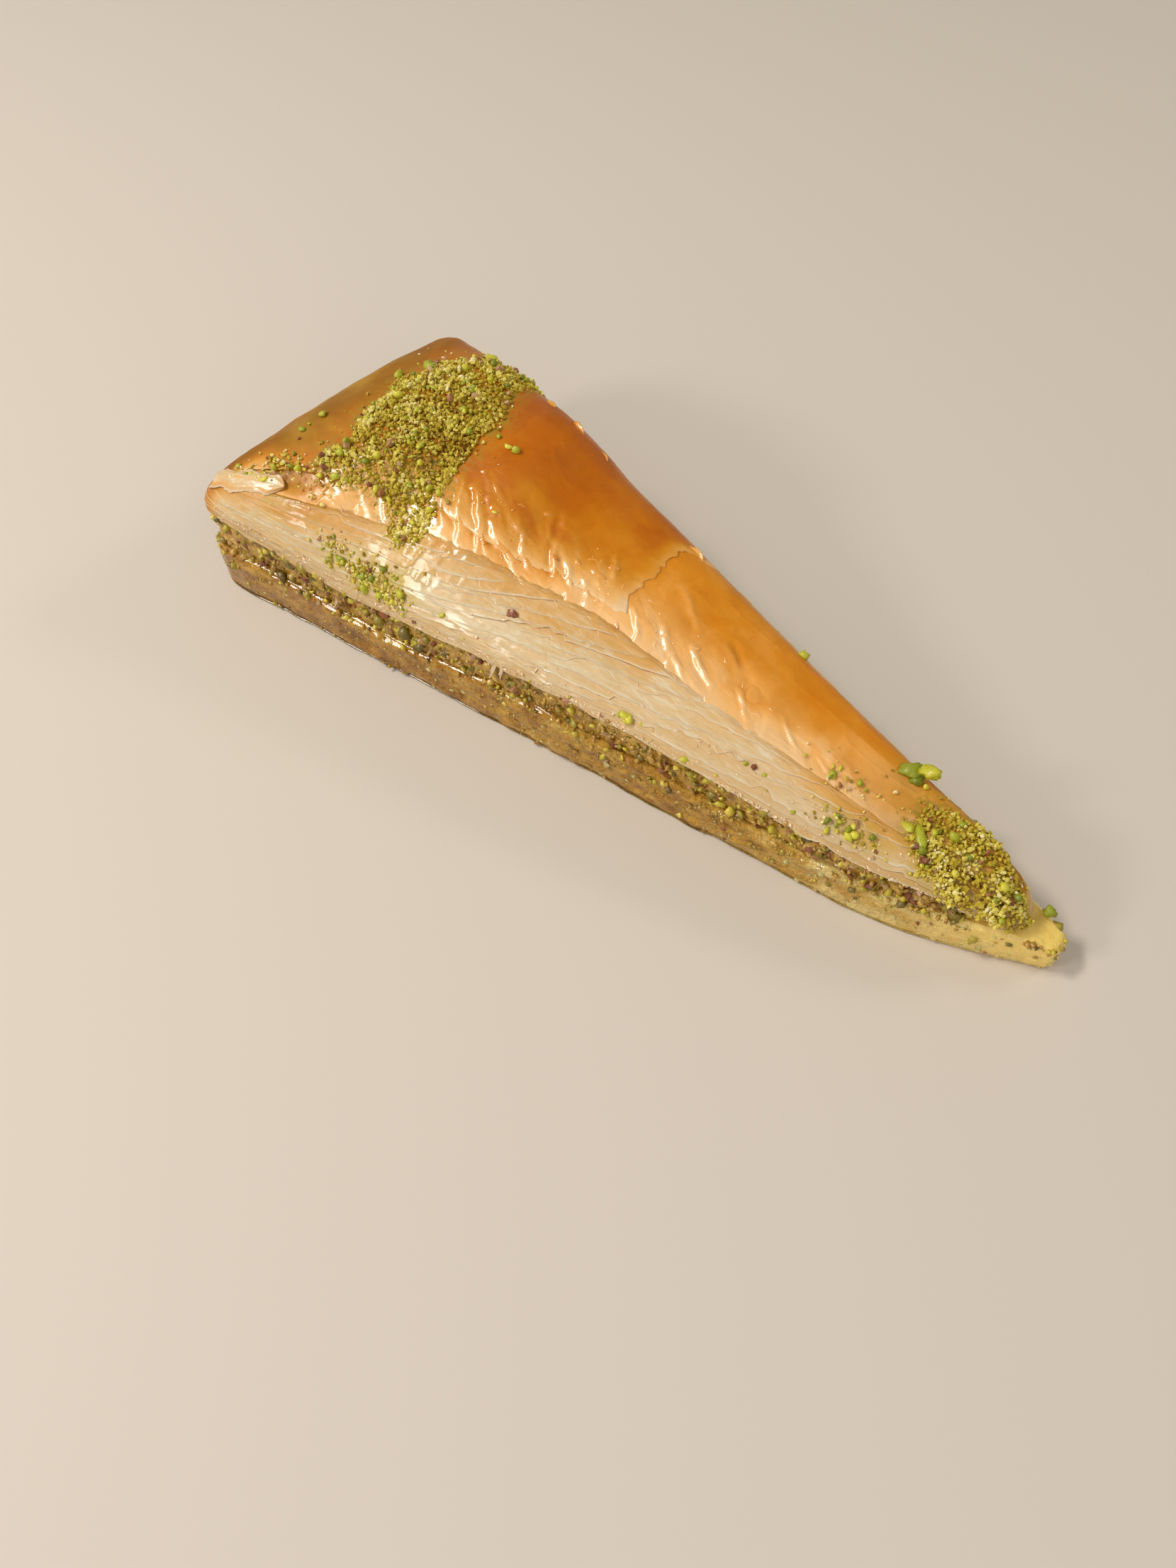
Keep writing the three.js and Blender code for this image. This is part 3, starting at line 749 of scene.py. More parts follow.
def make_base():
    """Base: rings up the side from a thin skirt of syrup, then rings in to the ridge of its top.

    A ring's offset is layered noise plus faint ledges; the top sags slightly between."""
    line = BASE
    level = np.concatenate([[0.0, 0.008, 0.02, 0.04], np.linspace(0.065, 0.985, 46), [1.0]])
    place = ring_points(line)
    p = np.empty((len(level), line.count, 3))
    p[..., :2] = line.points
    p[..., 2] = level[:, None] * base_top(line.x)
    round_off = -0.5 * fade(0.02, 0.14, level) - 0.7 * smooth(0.9, 1.0, level)
    skirt = 0.75 + 0.45 * layered_noise(place, 5.0, 2, 13)
    film = 0.5 * np.clip(1 - level / 0.045, 0, 1)[:, None] ** 2.5 * skirt[None, :]
    wander = layered_noise(place, (26.0, 26.0, 1.0), 2, 3)
    leaves = level[:, None] * 9.0 + 1.1 * wander[None, :]
    ledge = 0.06 * (np.abs((leaves % 1.0) * 2 - 1) - 0.5)
    wave = base_swell(p) + 0.5 * layered_noise(p, (2.6, 2.6, 1.6), 3, 8)
    foot = 0.4 * layered_noise(place, 7.0, 2, 15)[None, :] * fade(0.1, 0.4, level)[:, None]
    side = (ledge + wave * base_unevenness(line.x)) * smooth(0.03, 0.16, level)[:, None]
    push = round_off[:, None] + side + film + foot
    p[..., :2] += line.out * push[..., None]
    rim = p[-1]
    inner = []
    spine_x = np.clip(line.x, 30, 176)
    spine_y = (front_edge(spine_x) + back_edge(spine_x)) / 2
    for share in np.linspace(0.03, 1.0, 16):
        q = rim.copy()
        q[:, 0] += (spine_x - q[:, 0]) * share
        q[:, 1] += (spine_y - q[:, 1]) * share
        relief = 0.22 * layered_noise(q, (6.0, 2.0, 3.0), 3, 11)
        relief = relief * min(1.0, share * 8) * (1 - share ** 4)
        q[:, 2] = base_top(q[:, 0]) - 0.1 * (1 - np.cos(share * 3.1)) + relief
        inner.append(q)
    rings = np.concatenate([p, np.array(inner)])
    faces = tube_faces(len(rings), line.count, both_ends=False)
    x, z = rings[..., 0], rings[..., 2]
    bake = 0.50 + 0.16 * layered_noise(rings, (14, 14, 5), 3, 21)
    bake = bake - 0.48 * smooth(PALER_FROM, PALER_TO, x) + 0.12 * fade(30, 48, x)
    bake = bake + 0.34 * fade(0.0, 1.3, z) - 0.10 * smooth(5.0, 9.0, z)
    glow = smooth(GLOW_FROM, GLOW_TO, x) * (0.7 + 0.3 * smooth(0.2, 0.8, z / base_top(x)))
    make_piece("soaked_base", rings, faces, BASE_PAINT, ("base_pastry",),
               {"bake": np.clip(bake, 0, 1), "glow": glow})


# ---------------------------------------------------------------- filling

def filling_surface(line, level, out):
    """Point on the side of the filling at a share of its height, pushed out by out."""
    x, y = line.pushed(out)
    low = base_top(x) - 0.25
    high = filling_top(x) + NODE_GAP + 0.5
    return np.stack([x, y, low + (high - low) * level], -1)


def make_filling_core():
    """Core of the filling: rings up its side, made lumpy by two sizes of noise."""
    line = FILLING
    levels = np.linspace(0, 1, 26)
    rings = []
    for level in levels:
        q = filling_surface(line, level, 0.0)
        lump = 0.8 * layered_noise(q, 2.4, 3, 31) + 0.35 * noise(q, 0.9, 33)
        belly = -0.5 * abs(2 * level - 1) ** 4
        rings.append(filling_surface(line, level, lump + belly))
    make_piece("filling_core", np.array(rings), tube_faces(len(levels), line.count), FILLING_PAINT,
               ("pistachio_filling",))


# ---------------------------------------------------------------- upper pastry

LEAF_EDGES = 20
PALE_EDGES, CREAM_EDGES = 7, 6  # the rest are golden
SECTION = (0.0, 0.05, 0.12, 0.24, 0.4, 0.58, 0.78, 1.0)  # from the lip of a leaf inwards
LEAF_THICK = 0.10


def leaf_edge_angles(line):
    """Dome angle of every leaf edge round the outline, and how much of each edge shows.

    Leaves lie level, so an edge keeps a height above the filling: 0.15 + 0.38 n + 0.027 n squared
    for leaf n, swayed by slow noise and torn by quick steps. The height is turned into the angle
    where the dome has it, and an edge that would come out above the crust tucks under it."""
    place = ring_points(line)
    low = filling_top(line.x) + NODE_GAP
    room = ridge_height(line.x) - low
    top = crust_start(line, LOWER_CRUST_X, LOWER_CRUST_START)
    angles, shown = [], []
    last = np.full(line.count, 0.3)
    for leaf in range(LEAF_EDGES):
        height = 0.15 + 0.38 * leaf + 0.027 * leaf ** 2
        free = min(1.0, 0.3 + height / 3)
        sway = 0.9 * noise(place, 34.0, 50 + leaf // 2) + 0.35 * noise(place, 15.0, 70 + leaf)
        frayed = fade(2.0, 9.0, leaf)
        ragged = (0.10 + 0.20 * frayed) * layered_noise(place, 3.2, 3, 90 + leaf)
        torn = smooth(0.25, 0.32, noise(place, 13.0, 110 + leaf))
        torn = torn * (0.6 + 0.3 * noise(place, 2.0, 130 + leaf))
        level = np.clip((height + free * (sway + torn) + ragged) / room, 0.0, 0.97)
        degrees = np.degrees(np.arcsin(level ** (dome_power(line) / 2)))
        degrees = np.maximum(degrees, last + 0.45)
        hidden = smooth(top - 3.0, top + 1.0, degrees)
        degrees = np.minimum(degrees, top - 0.2 * (LEAF_EDGES - leaf))
        degrees = np.maximum(degrees, last + 0.1)
        last = degrees
        angles.append(degrees)
        shown.append(1 - hidden)
    return angles, shown, top


def leaf_bake(points, share, line):
    """How far a leaf is baked: pale low down, golden near the crust, brown on the outer end.

    share is the dome angle as a share of the angle where the crust starts."""
    x = points[..., 0]
    pale_part = smooth(98, 108, x) * fade(126, 138, x)
    near_crust = (0.34 - 0.20 * pale_part) * smooth(0.42, 1.02, share) + 0.02
    near_crust = near_crust + 0.07 * fade(0.0, 0.4, share) + 0.18 * fade(-2, 4, x)
    wide = 0.08 * fade(18, 44, x) + 0.08 * smooth(136, 160, x)
    wide = wide + 0.20 * bell(x, 19, 7) * smooth(0.5, 0.85, share)
    wide = wide + 0.16 * bell(x, 150, 6) * bell(share, 0.6, 0.2)
    slow = 0.08 * layered_noise(points, (22.0, 14.0, 8.0), 2, 61)
    brown = 0.56 + 0.20 * layered_noise(points, (9.0, 7.0, 4.0), 2, 63)
    far = 0.12 * (line.hand > 0) * smooth(0.3, 1.0, share)
    cut = np.clip(near_crust + wide + slow + far, 0, 1)
    return cut * (1 - line.baked) + brown * line.baked


# smears of nut dust on the leaves: strength, x, reach along x, share of the way up, its reach
SMEARS = ((1.6, 43, 9, 0.48, 0.22), (1.1, 148, 7, 0.65, 0.2), (0.8, 18, 8, 0.9, 0.25))


def leaf_dust(points, share):
    """Nut dust caught between the leaves: under the meal and in the named smears."""
    x = points[..., 0]
    smear = 0.0
    for strength, place, long, middle, high in SMEARS:
        smear = smear + strength * bell(x, place, long) * bell(share, middle, high)
    smear = smear * smooth(-0.6, 0.2, layered_noise(points, 4.0, 2, 65))
    return np.maximum(0.5 * dust_amount(points), 0.8 * np.minimum(smear, 1))


def soaked_amount(x, share):
    """Syrup in the lowest leaves, more of it on the narrow half."""
    low = fade(0.10, 0.55, share)
    return low * (0.15 + 0.55 * smooth(88, 104, x) + 0.3 * smooth(136, 150, x))


def make_leaves():
    """Fanned leaves: closed ribbons round the wedge, each tucked under the one above.

    A ribbon's section runs in from its lip; the lip stands off the dome where the leaf has come
    loose and lies on the leaf below where syrup holds it, and the inner end dips out of sight."""
    line = UPPER
    place = ring_points(line)
    edges, shown, top = leaf_edge_angles(line)
    piles = {"pale_leaves": Pile(), "cream_leaves": Pile(), "golden_leaves": Pile()}
    names = ["pale_leaves"] * PALE_EDGES + ["cream_leaves"] * CREAM_EDGES
    names += ["golden_leaves"] * (LEAF_EDGES - len(names))
    for leaf in range(LEAF_EDGES):
        here = edges[leaf]
        above = edges[leaf + 1] if leaf + 1 < LEAF_EDGES else top
        span = np.maximum(above - here, 0.5) * 1.2 + 2.0
        share = (leaf + 0.5) / LEAF_EDGES
        loose = smooth(-0.2, 0.35, noise(place, 18.0, 150 + leaf))
        lip = 0.17 + 0.09 * noise(place, 9.0, 160 + leaf) + 0.06 * noise(place, 2.6, 180 + leaf)
        curl = smooth(0.45, 0.85, noise(place, 13.0, 200 + leaf)) * (0.12 + 0.30 * share)
        lip = (0.03 + (lip + curl) * (0.3 + 0.7 * loose)) * shown[leaf]
        droop = 0.9 * smooth(0.0, 0.7, noise(place, 7.0, 210)) * (leaf == 0)
        crumple = line.near * 0.22 * smooth(38, 48, line.x) * fade(84, 98, line.x)
        crumple = crumple * smooth(0.45, 0.65, share)
        rings, uv, tucked, light, climb = [], [], [], [], []
        for g in SECTION:
            angle = here + span * g
            climb.append(np.minimum(angle, here + 2.0) / top)
            base = dome(line, angle)
            normal = dome_normal(line, angle)
            thread = (1 - np.abs(grain_noise(base, line, 18.0, 1.5, 220 + leaf))) ** 8
            dimple = noise(base, (3.2, 3.2, 5.0), 230 + leaf)
            frizz = grain_noise(base, line, 1.7, 0.45, 235) * fade(2.0, 7.0, leaf)
            pinch = (1 - np.abs(noise(base, (2.2, 9.0, 9.0), 241 + leaf))) ** 5
            relief = 0.08 * thread + 0.03 * dimple + 0.08 * frizz + crumple * pinch
            relief = relief * smooth(0.0, 0.2, g + 0.06)
            stand = lip * (1 - g) ** 1.2 - 0.18 * smooth(0.6, 1.0, g) + relief
            sunk = np.minimum(crust_relief(base, angle, line)[0], 0) - 0.35
            stand = stand + sunk * smooth(top - 0.5, top + 2.0, angle)
            point = base + normal * stand[:, None]
            point[:, 2] -= droop * (1 - g) ** 2
            rings.append(point)
            uv.append(spread(line.length[:-1], angle * 0.33 + leaf * 7.3))
            # how far this row is tucked under the next leaf, for the painted crease shade
            tucked.append(smooth(0.35, 0.9, g) * (0.3 + 0.6 * loose))
            # painted highlight along the lip, stronger where the leaf has come loose
            light.append(fade(0.0, 0.16, g) * (0.4 + 0.6 * loose) * shown[leaf])
        under = dome_normal(line, here) * LEAF_THICK
        rings = np.array([rings[-1] - (0, 0, 0.12), rings[3] - under, rings[0] - under] + rings)
        uv, climb = (np.array([rows[-1], rows[3], rows[0]] + rows) for rows in (uv, climb))
        none = np.zeros(line.count)
        light = np.array([none, none, light[0]] + light)
        # painted shade: undersides and tucked rows are painted darker honey, more on the lowest
        # leaves
        crease = np.array([none + 0.9, none + 0.6, none + 0.1] + tucked)
        crease = crease * (0.4 + 0.45 * share) + 0.25 * fade(2.0, 7.0, leaf)
        bake = leaf_bake(rings, climb, line) + 0.06 * noise(place, 16.0, 260 + leaf)
        around = np.append(np.arange(line.count), 0)
        closing = strip_faces((len(rings) - 1) * line.count + around, around)
        faces = np.concatenate([grid_faces(len(rings), line.count, wrap=True), closing])
        piles[names[leaf]].add(rings, faces, uv, bake=np.clip(bake, 0, 1).ravel(),
                               crease=crease.ravel(), lip=light.ravel(),
                               soaked=soaked_amount(rings[..., 0], climb).ravel(),
                               dust=leaf_dust(rings, climb).ravel())
    for name, pile in piles.items():
        pile.make(name, LEAF_PAINT, "baked_pastry", ("top_pastry",))


def make_upper_core():
    """Body under the leaves and crust: the dome, set in far enough to stay hidden."""
    line = UPPER
    rings = []
    angles = np.concatenate([[0.0], np.linspace(2, 90, 40)])
    for degrees in angles:
        base = dome(line, degrees, -0.5)
        depth = 0.5 + 0.5 * smooth(30, 70, degrees)
        depth = (depth - np.minimum(crust_relief(base, degrees, line)[0], 0))[:, None]
        rings.append(base - dome_normal(line, degrees) * depth * (degrees > 1))
    rings[-1][:, :] = dome(line, 90.0) - (0, 0, 1.2)
    rings = np.array(rings)
    faces = tube_faces(len(rings), line.count, both_ends=False)
    bake = np.broadcast_to(0.12 + 0.5 * line.baked, rings.shape[:2])
    uv = spread(line.length[:-1], rings[..., 2])
    # the hidden core is painted with crease shade, so it reads dark in the gaps
    make_piece("upper_core", rings, faces, LEAF_PAINT, ("top_pastry",),
               {"bake": bake, "crease": 0 * bake + 0.8, "dust": 0 * bake,
                "lip": 0 * bake, "soaked": 0 * bake}, uv)


def wrinkle_relief(x, degrees, wobble):
    """Ridge along each named line, with a trough beside it, fading to both ends."""
    total = 0.0
    for ax, a, bx, b, height, wide in WRINKLES:
        run, drop = bx - ax, (b - a) * DEGREE_LENGTH
        length = math.hypot(run, drop)
        u, v = x - ax, (degrees - a) * DEGREE_LENGTH
        along = (u * run + v * drop) / length ** 2
        across = ((u * drop - v * run) / length + wobble) / 0.62
        taper = np.clip(4 * along * (1 - along), 0, 1) ** 0.6
        ridge = bell(across, 0, wide) - 0.6 * bell(across, 1.5 * wide, wide)
        total = total + height * taper * ridge
    return total


def slanted(points, wobble):
    """Points seen from above in axes turned by the slant, shifted by a wobble."""
    x, y = points[..., 0], points[..., 1]
    u = x * math.cos(SLANT) + y * math.sin(SLANT)
    v = y * math.cos(SLANT) - x * math.sin(SLANT)
    return spread(u, v, 0.0) + wobble[..., None]


def crust_relief(points, degrees, line):
    """Relief of the crust, and the wrinkles alone: slow swells, named wrinkles, fine pinches.

    A pinch is 1 minus the size of noise that is long down the slope and short across it."""
    x = points[..., 0]
    swell = 0.34 * noise(points, (20.0, 13.0, 30.0), 301)
    swell = swell + 0.15 * noise(points, (7.0, 5.0, 30.0), 303)
    for sx, angle, long, wide, height in SWELLS:
        reach = ((x - sx) / long) ** 2 + ((degrees - angle) / wide) ** 2
        swell = swell + line.near * height * np.exp(-1.5 * reach)
    wobble = 0.9 * layered_noise(points, 4.0, 2, 305)
    wrinkled = line.near * wrinkle_relief(x, degrees + 0 * x, wobble)
    pinch = (1 - np.abs(noise(slanted(points, wobble), (9.0, 2.2, 5.0), 307))) ** 7
    shoulder = line.near * smooth(34, 44, degrees) * fade(60, 72, degrees) * smooth(22, 38, x)
    ridges = (1 - np.abs(noise(points, (16.0, 2.6, 30.0), 311))) ** 5 * smooth(84, 96, x)
    fine = 0.05 * noise(points, 2.2, 313) + 0.035 * noise(points, 1.0, 315)
    return swell + wrinkled + 0.22 * pinch * shoulder + 0.12 * ridges + fine, wrinkled


def crust_bake(points, degrees, line):
    """How far the crust is baked: deep amber on the wide half, lighter down the near shoulder, with
    painted sheen patches and painted highlight streaks on the shoulder.
    """
    x, near = points[..., 0], line.near
    tip_half = smooth(84, 92, x)
    wide = 0.79 - 0.08 * fade(54, 72, degrees) - 0.42 * fade(36, 58, degrees)
    wide = wide - 0.26 * smooth(66, 86, x) * fade(56, 88, degrees)
    tip = 0.29 + 0.31 * smooth(46, 84, degrees) - 0.04 * smooth(128, 156, x)
    tip = tip - 0.12 * smooth(126, 142, x) * smooth(68, 84, degrees)
    beyond = 0.79 - 0.18 * tip_half - 0.08 * smooth(128, 156, x)
    bake = near * (wide * (1 - tip_half) + tip * tip_half) + (1 - near) * beyond
    patch = (0.09 + 0.07 * tip_half) * layered_noise(points, (16.0, 8.0, 20.0), 3, 331)
    for strength, place, long, angle, high in BAKE_PATCHES:
        patch = patch + strength * near * bell(x, place, long) * bell(degrees, angle, high)
    patch = patch - 0.05 * near * bell(x, 80, 7)
    # painted sheen: satin patches are painted paler on the near crust
    painted_sheen = 0.08 * smooth(0.25, 0.55, noise(points, (9.0, 6.0, 20.0), 335)) * near
    painted_sheen = painted_sheen * fade(72, 86, degrees)
    # painted highlight: paler streaks down the near shoulder stand for its highlight streaks
    bent = slanted(points, noise(points, 4.0, 305))
    streak = smooth(0.1, 0.5, layered_noise(bent, (8.0, 1.5, 5.0), 2, 337)) * near
    streak = streak * smooth(38, 46, degrees) * fade(62, 76, degrees)
    return np.clip(bake + patch - painted_sheen - 0.14 * streak, 0.02, 1)


def gloss_amount(degrees, line):
    """1 on the wet near shoulder, less at the wide end, 0 on top and behind."""
    wet = line.near * (0.10 + 0.90 * smooth(17, 28, line.x))
    return wet * smooth(32, 42, degrees) * fade(60, 80, degrees)


def scorch_and_shade_amount(points, degrees, line):
    """Brown of the outer end, of the wide corner, of the hollow by the flap and of the tip; at the
    wide corner it is partly painted shade.
    """
    x = points[..., 0]
    # the wide corner: darker for nut dust, and partly painted shade
    corner = 0.95 * fade(8, 27, x) * smooth(46, 60, degrees)
    hollow = 0.8 * (line.hand < 0) * bell(x, 17, 7) * bell(degrees, 40, 8)
    tip = 0.5 * smooth(138, 152, x) * smooth(30, 46, degrees)
    strongest = np.maximum.reduce([0.85 * line.baked, corner, hollow, tip])
    return strongest * (0.88 + 0.12 * layered_noise(points, 8.0, 2, 345))


ROW_POWER = 0.85  # rows of a sheet lie a little closer together towards the ridge
LOWER_STAND, TOP_STAND = -0.14, 0.03  # how far the two sheets stand off the dome


def sheet_of_crust(line, first, rows, stand, thick):
    """Upper and lower side of a sheet of crust from dome angle first to the ridge, and its values.

    stand gives how far each row stands off the dome, from the row's share of the way up."""
    top, bottom, bakes, gloss, scorch = [], [], [], [], []
    for share in np.linspace(0, 1, rows):
        degrees = first + (90.0 - first) * share ** ROW_POWER
        base = dome(line, degrees)
        normal = dome_normal(line, degrees)
        height = heap_depth(base[..., 0], base[..., 1]) * HEAP_SHARE
        ease = smooth(80, 90, degrees)[:, None]
        normal = unit(normal * (1 - ease) + np.array([0, 0, 2.0]) * ease)
        relief, wrinkled = crust_relief(base, degrees, line)
        off = stand(share) + relief * smooth(0.0, 0.05, share)
        point = base + normal * off[:, None]
        point[:, 2] += height
        top.append(point)
        bottom.append(point - normal * thick)
        edge = fade(0.0, 14.0, degrees - first) * line.near
        # painted highlight: the crests of the wrinkles are painted paler
        bake = crust_bake(base, degrees, line) - 0.35 * np.maximum(wrinkled, 0)
        edge = edge * (1 - 0.9 * bell(base[:, 0], 18, 9))
        bakes.append(bake * (1 - edge) + (0.4 * bake + 0.11) * edge)
        gloss.append(gloss_amount(degrees, line))
        scorch.append(scorch_and_shade_amount(base, degrees, line))
    far = (line.count - np.arange(line.count)) % line.count
    # on the ridge each point is half way between the two sides
    for grid in (top, bottom, bakes, gloss, scorch):
        grid[-1] = (grid[-1] + grid[-1][far]) / 2
    return np.array(top), np.array(bottom), {
        "bake": np.array(bakes), "gloss": np.array(gloss), "scorch": np.array(scorch)}


def make_sheet(name, top, bottom, faces, values, kept=slice(None)):
    """Makes one sheet of crust from its two sides; kept picks the rows that the lower one has."""
    rings = np.concatenate([top, bottom])
    values = {key: np.concatenate([grid, grid[kept]]) for key, grid in values.items()}
    values["dust"] = dust_amount(rings)
    make_piece(name, rings, faces, CRUST_PAINT, ("top_pastry",), values)


def make_crust():
    """Lower sheet of the crust, all the way round the top, closed along the ridge."""
    line = UPPER
    place = ring_points(line)
    start = crust_start(line, LOWER_CRUST_X, LOWER_CRUST_START)
    torn = 3.0 * smooth(0.2, 0.27, noise(place, 7.0, 343))
    torn = torn - 2.0 * smooth(0.3, 0.36, noise(place, 4.0, 347))
    start = start - 2.0 + 2.2 * layered_noise(place, 9.0, 4, 341) + torn

    def stand(share):
        return LOWER_STAND - 0.08 * fade(0.0, 0.04, share)

    rows, count = 86, line.count
    top, bottom, values = sheet_of_crust(line, start, rows, stand, 0.16)
    # the underside needs fewer rows; it dives below the surface past the rim
    kept = np.array([0, 2, 6, 12, 22, 36, 54, 72, rows - 1])
    bottom = bottom[kept]
    bottom[1:, :, 2] -= 0.7
    size = rows * count
    rim = np.append(np.arange(count), 0)
    faces = np.concatenate([
        grid_faces(rows, count, wrap=True),
        grid_faces(len(kept), count, wrap=True, start=size)[:, ::-1],
        strip_faces(size + rim, rim)])
    make_sheet("lower_crust", top, bottom, faces, values, kept)


def make_top_sheet():
    """Topmost sheet of the crust, torn off across the middle of the wedge.

    Its columns run from the tear on the near side round the wide end to the tear on the far
    side; the tear's x wavers with the dome angle, and both sides agree on the ridge."""
    line = UPPER
    columns, rows = 270, 66
    place = ring_points(line)
    share = np.linspace(0, 1, rows)[:, None]
    up = share ** ROW_POWER
    start = crust_start(line, TOP_SHEET_X, TOP_SHEET_START)
    start = start + 1.8 * layered_noise(place, 13.0, 3, 351) + 0.6 * noise(place, 2.2, 353)
    side = np.linspace(-1, 1, 2 * columns + 1)[None, :]
    hand = np.sign(side)
    sway = spread(up * 40, hand * 14 * (1 - up), 0.0)
    tear = TEAR_X + 1.6 * layered_noise(sway, (11.0, 30.0, 1.0), 2, 357)
    tear = tear + 0.5 * noise(sway, (2.6, 30.0, 1.0), 359)
    tear = tear + np.where(side > 0, 7.0 * smooth(0.75, 0.35, up), 1.5 * smooth(0.35, 0.0, up))
    near_run = np.arange(20, line.half - 14)
    far_run = np.arange(line.half + 14, line.count - 20)[::-1]
    first = np.interp(tear, line.x[near_run], near_run)
    last = np.interp(tear, line.x[far_run], far_run)
    position = np.where(side < 0, first * -side, line.count + (last - line.count) * side)
    low = np.floor(position).astype(int)
    mix = (position - low)[..., None]
    low, high = low % line.count, (low + 1) % line.count
    row = np.arange(rows)[:, None]

    def read(grid):
        return grid[row, low] * (1 - mix) + grid[row, high] * mix

    def stand(share_now):
        return TOP_STAND + 0.03 * fade(0.0, 0.08, share_now)

    top, bottom, values = sheet_of_crust(line, start, rows, stand, 0.10)
    top, bottom = read(top), read(bottom)
    values = {key: read(grid[..., None])[..., 0] for key, grid in values.items()}
    # the torn edge lifts in places; it is paler where thin, partly as painted light over its shadow
    edge = smooth(0.955, 1.0, np.abs(side)) * smooth(0.0, 0.6, noise(top, 5.0, 361))
    feather = smooth(0.980, 1.0, np.abs(side))
    top[..., 2] += 0.08 * edge - 0.11 * feather
    bottom[..., 2] += 0.08 * edge - 0.05 * feather
    thin = smooth(0.965, 0.998, np.abs(side)) * (0.6 + 0.4 * noise(top, 2.6, 363))
    values["bake"] = values["bake"] - 0.26 * thin - 0.10 * fade(0.0, 0.05, share)
    count = 2 * columns + 1
    size = rows * count
    rim, near_tear = np.arange(count), np.arange(rows) * count
    far_tear = near_tear + count - 1
    faces = np.concatenate([
        grid_faces(rows, count), grid_faces(rows, count, start=size)[:, ::-1],
        strip_faces(size + rim, rim), strip_faces(near_tear, size + near_tear),
        strip_faces(size + far_tear, far_tear)])[:, ::-1]
    make_sheet("torn_top_sheet", top, bottom, faces, values)


# ---------------------------------------------------------------- nut crumbs

def crumb_shape(detail):
    """Corners and faces of a ball: 20 faces (detail 0), 32 (detail 1) or 128 (detail 2).

    The first is an icosahedron, the others an octahedron with each face cut in four, once or
    twice."""
    golden = (1 + 5 ** 0.5) / 2
    if detail == 0:
        corners = [(-1, golden, 0), (1, golden, 0), (-1, -golden, 0), (1, -golden, 0),
                   (0, -1, golden), (0, 1, golden), (0, -1, -golden), (0, 1, -golden),
                   (golden, 0, -1), (golden, 0, 1), (-golden, 0, -1), (-golden, 0, 1)]
        faces = [(0, 11, 5), (0, 5, 1), (0, 1, 7), (0, 7, 10), (0, 10, 11), (1, 5, 9), (5, 11, 4),
                 (11, 10, 2), (10, 7, 6), (7, 1, 8), (3, 9, 4), (3, 4, 2), (3, 2, 6), (3, 6, 8),
                 (3, 8, 9), (4, 9, 5), (2, 4, 11), (6, 2, 10), (8, 6, 7), (9, 8, 1)]
    else:
        corners = [(1, 0, 0), (-1, 0, 0), (0, 1, 0), (0, -1, 0), (0, 0, 1), (0, 0, -1)]
        faces = [(0, 2, 4), (2, 1, 4), (1, 3, 4), (3, 0, 4),
                 (2, 0, 5), (1, 2, 5), (3, 1, 5), (0, 3, 5)]
    corners = [unit(np.array(c, float)) for c in corners]
    for _ in range(detail):
        halves, finer = {}, []
        for a, b, c in faces:
            mids = []
            for pair in ((a, b), (b, c), (c, a)):
                key = tuple(sorted(pair))
                if key not in halves:
                    middle = corners[key[0]] + corners[key[1]]
                    halves[key] = len(corners)
                    corners.append(middle / np.linalg.norm(middle))
                mids.append(halves[key])
            ab, bc, ca = mids
            finer += [(a, ab, ca), (b, bc, ab), (c, ca, bc), (ab, bc, ca)]
        faces = finer
    return np.array(corners), np.array(faces)


def turns(draw, count):
    """Random turns as rotation matrices, from random quaternions."""
    q = unit(draw.normal(size=(count, 4)))
    w, x, y, z = q.T
    return np.stack([
        np.stack([1 - 2 * (y * y + z * z), 2 * (x * y - z * w), 2 * (x * z + y * w)], -1),
        np.stack([2 * (x * y + z * w), 1 - 2 * (x * x + z * z), 2 * (y * z - x * w)], -1),
        np.stack([2 * (x * z - y * w), 2 * (y * z + x * w), 1 - 2 * (x * x + y * y)], -1)], -2)


def placed(shapes, faces, frames, centres):
    """Many small shapes, each turned by its frame and moved to its centre, and all their faces."""
    first = np.arange(len(shapes)) * shapes.shape[1]
    shapes = np.einsum("nij,nkj->nki", frames, shapes) + centres[:, None]
    return shapes.reshape(-1, 3), (faces + first[:, None, None]).reshape(-1, 3)


def scatter(pile, draw, centres, sizes, stretch=1.3, rough=0.4, detail=0, frames=None, tone=None):
    """Adds one crumb at each centre: a ball with uneven corners, stretched and turned.

    sizes is one number a crumb, or three along the axes of its frame. tone is 0 to 1."""
    corners, faces = crumb_shape(detail)
    count = len(centres)
    sizes = np.asarray(sizes, float).reshape(count, -1)
    shape = corners[None] * (1 + rough * draw.uniform(-1, 1, (count, len(corners), 1)))
    shape = shape * draw.uniform(1 / stretch, stretch, (count, 1, 3)) * sizes[:, None, :]
    frames = turns(draw, count) if frames is None else frames
    shape, all_faces = placed(shape, faces, frames, centres)
    tone = draw.uniform(0.05, 0.95, count) if tone is None else tone
    pile.add(shape, all_faces, tone=np.repeat(tone, len(corners)))


def random_sizes(draw, low, high, count, power):
    """Random sizes between low and high, more of them small where the power is above one."""
    return low + (high - low) * draw.uniform(size=count) ** power


def frames_on(normals, along, draw, wobble):
    """Frames with their third axis near the normal and their first near a direction along."""
    third = unit(normals + wobble * draw.normal(size=normals.shape))
    first = along + wobble * draw.normal(size=normals.shape)
    first = unit(first - third * (first * third).sum(-1, keepdims=True))
    return np.stack([first, np.cross(third, first), third], -1)


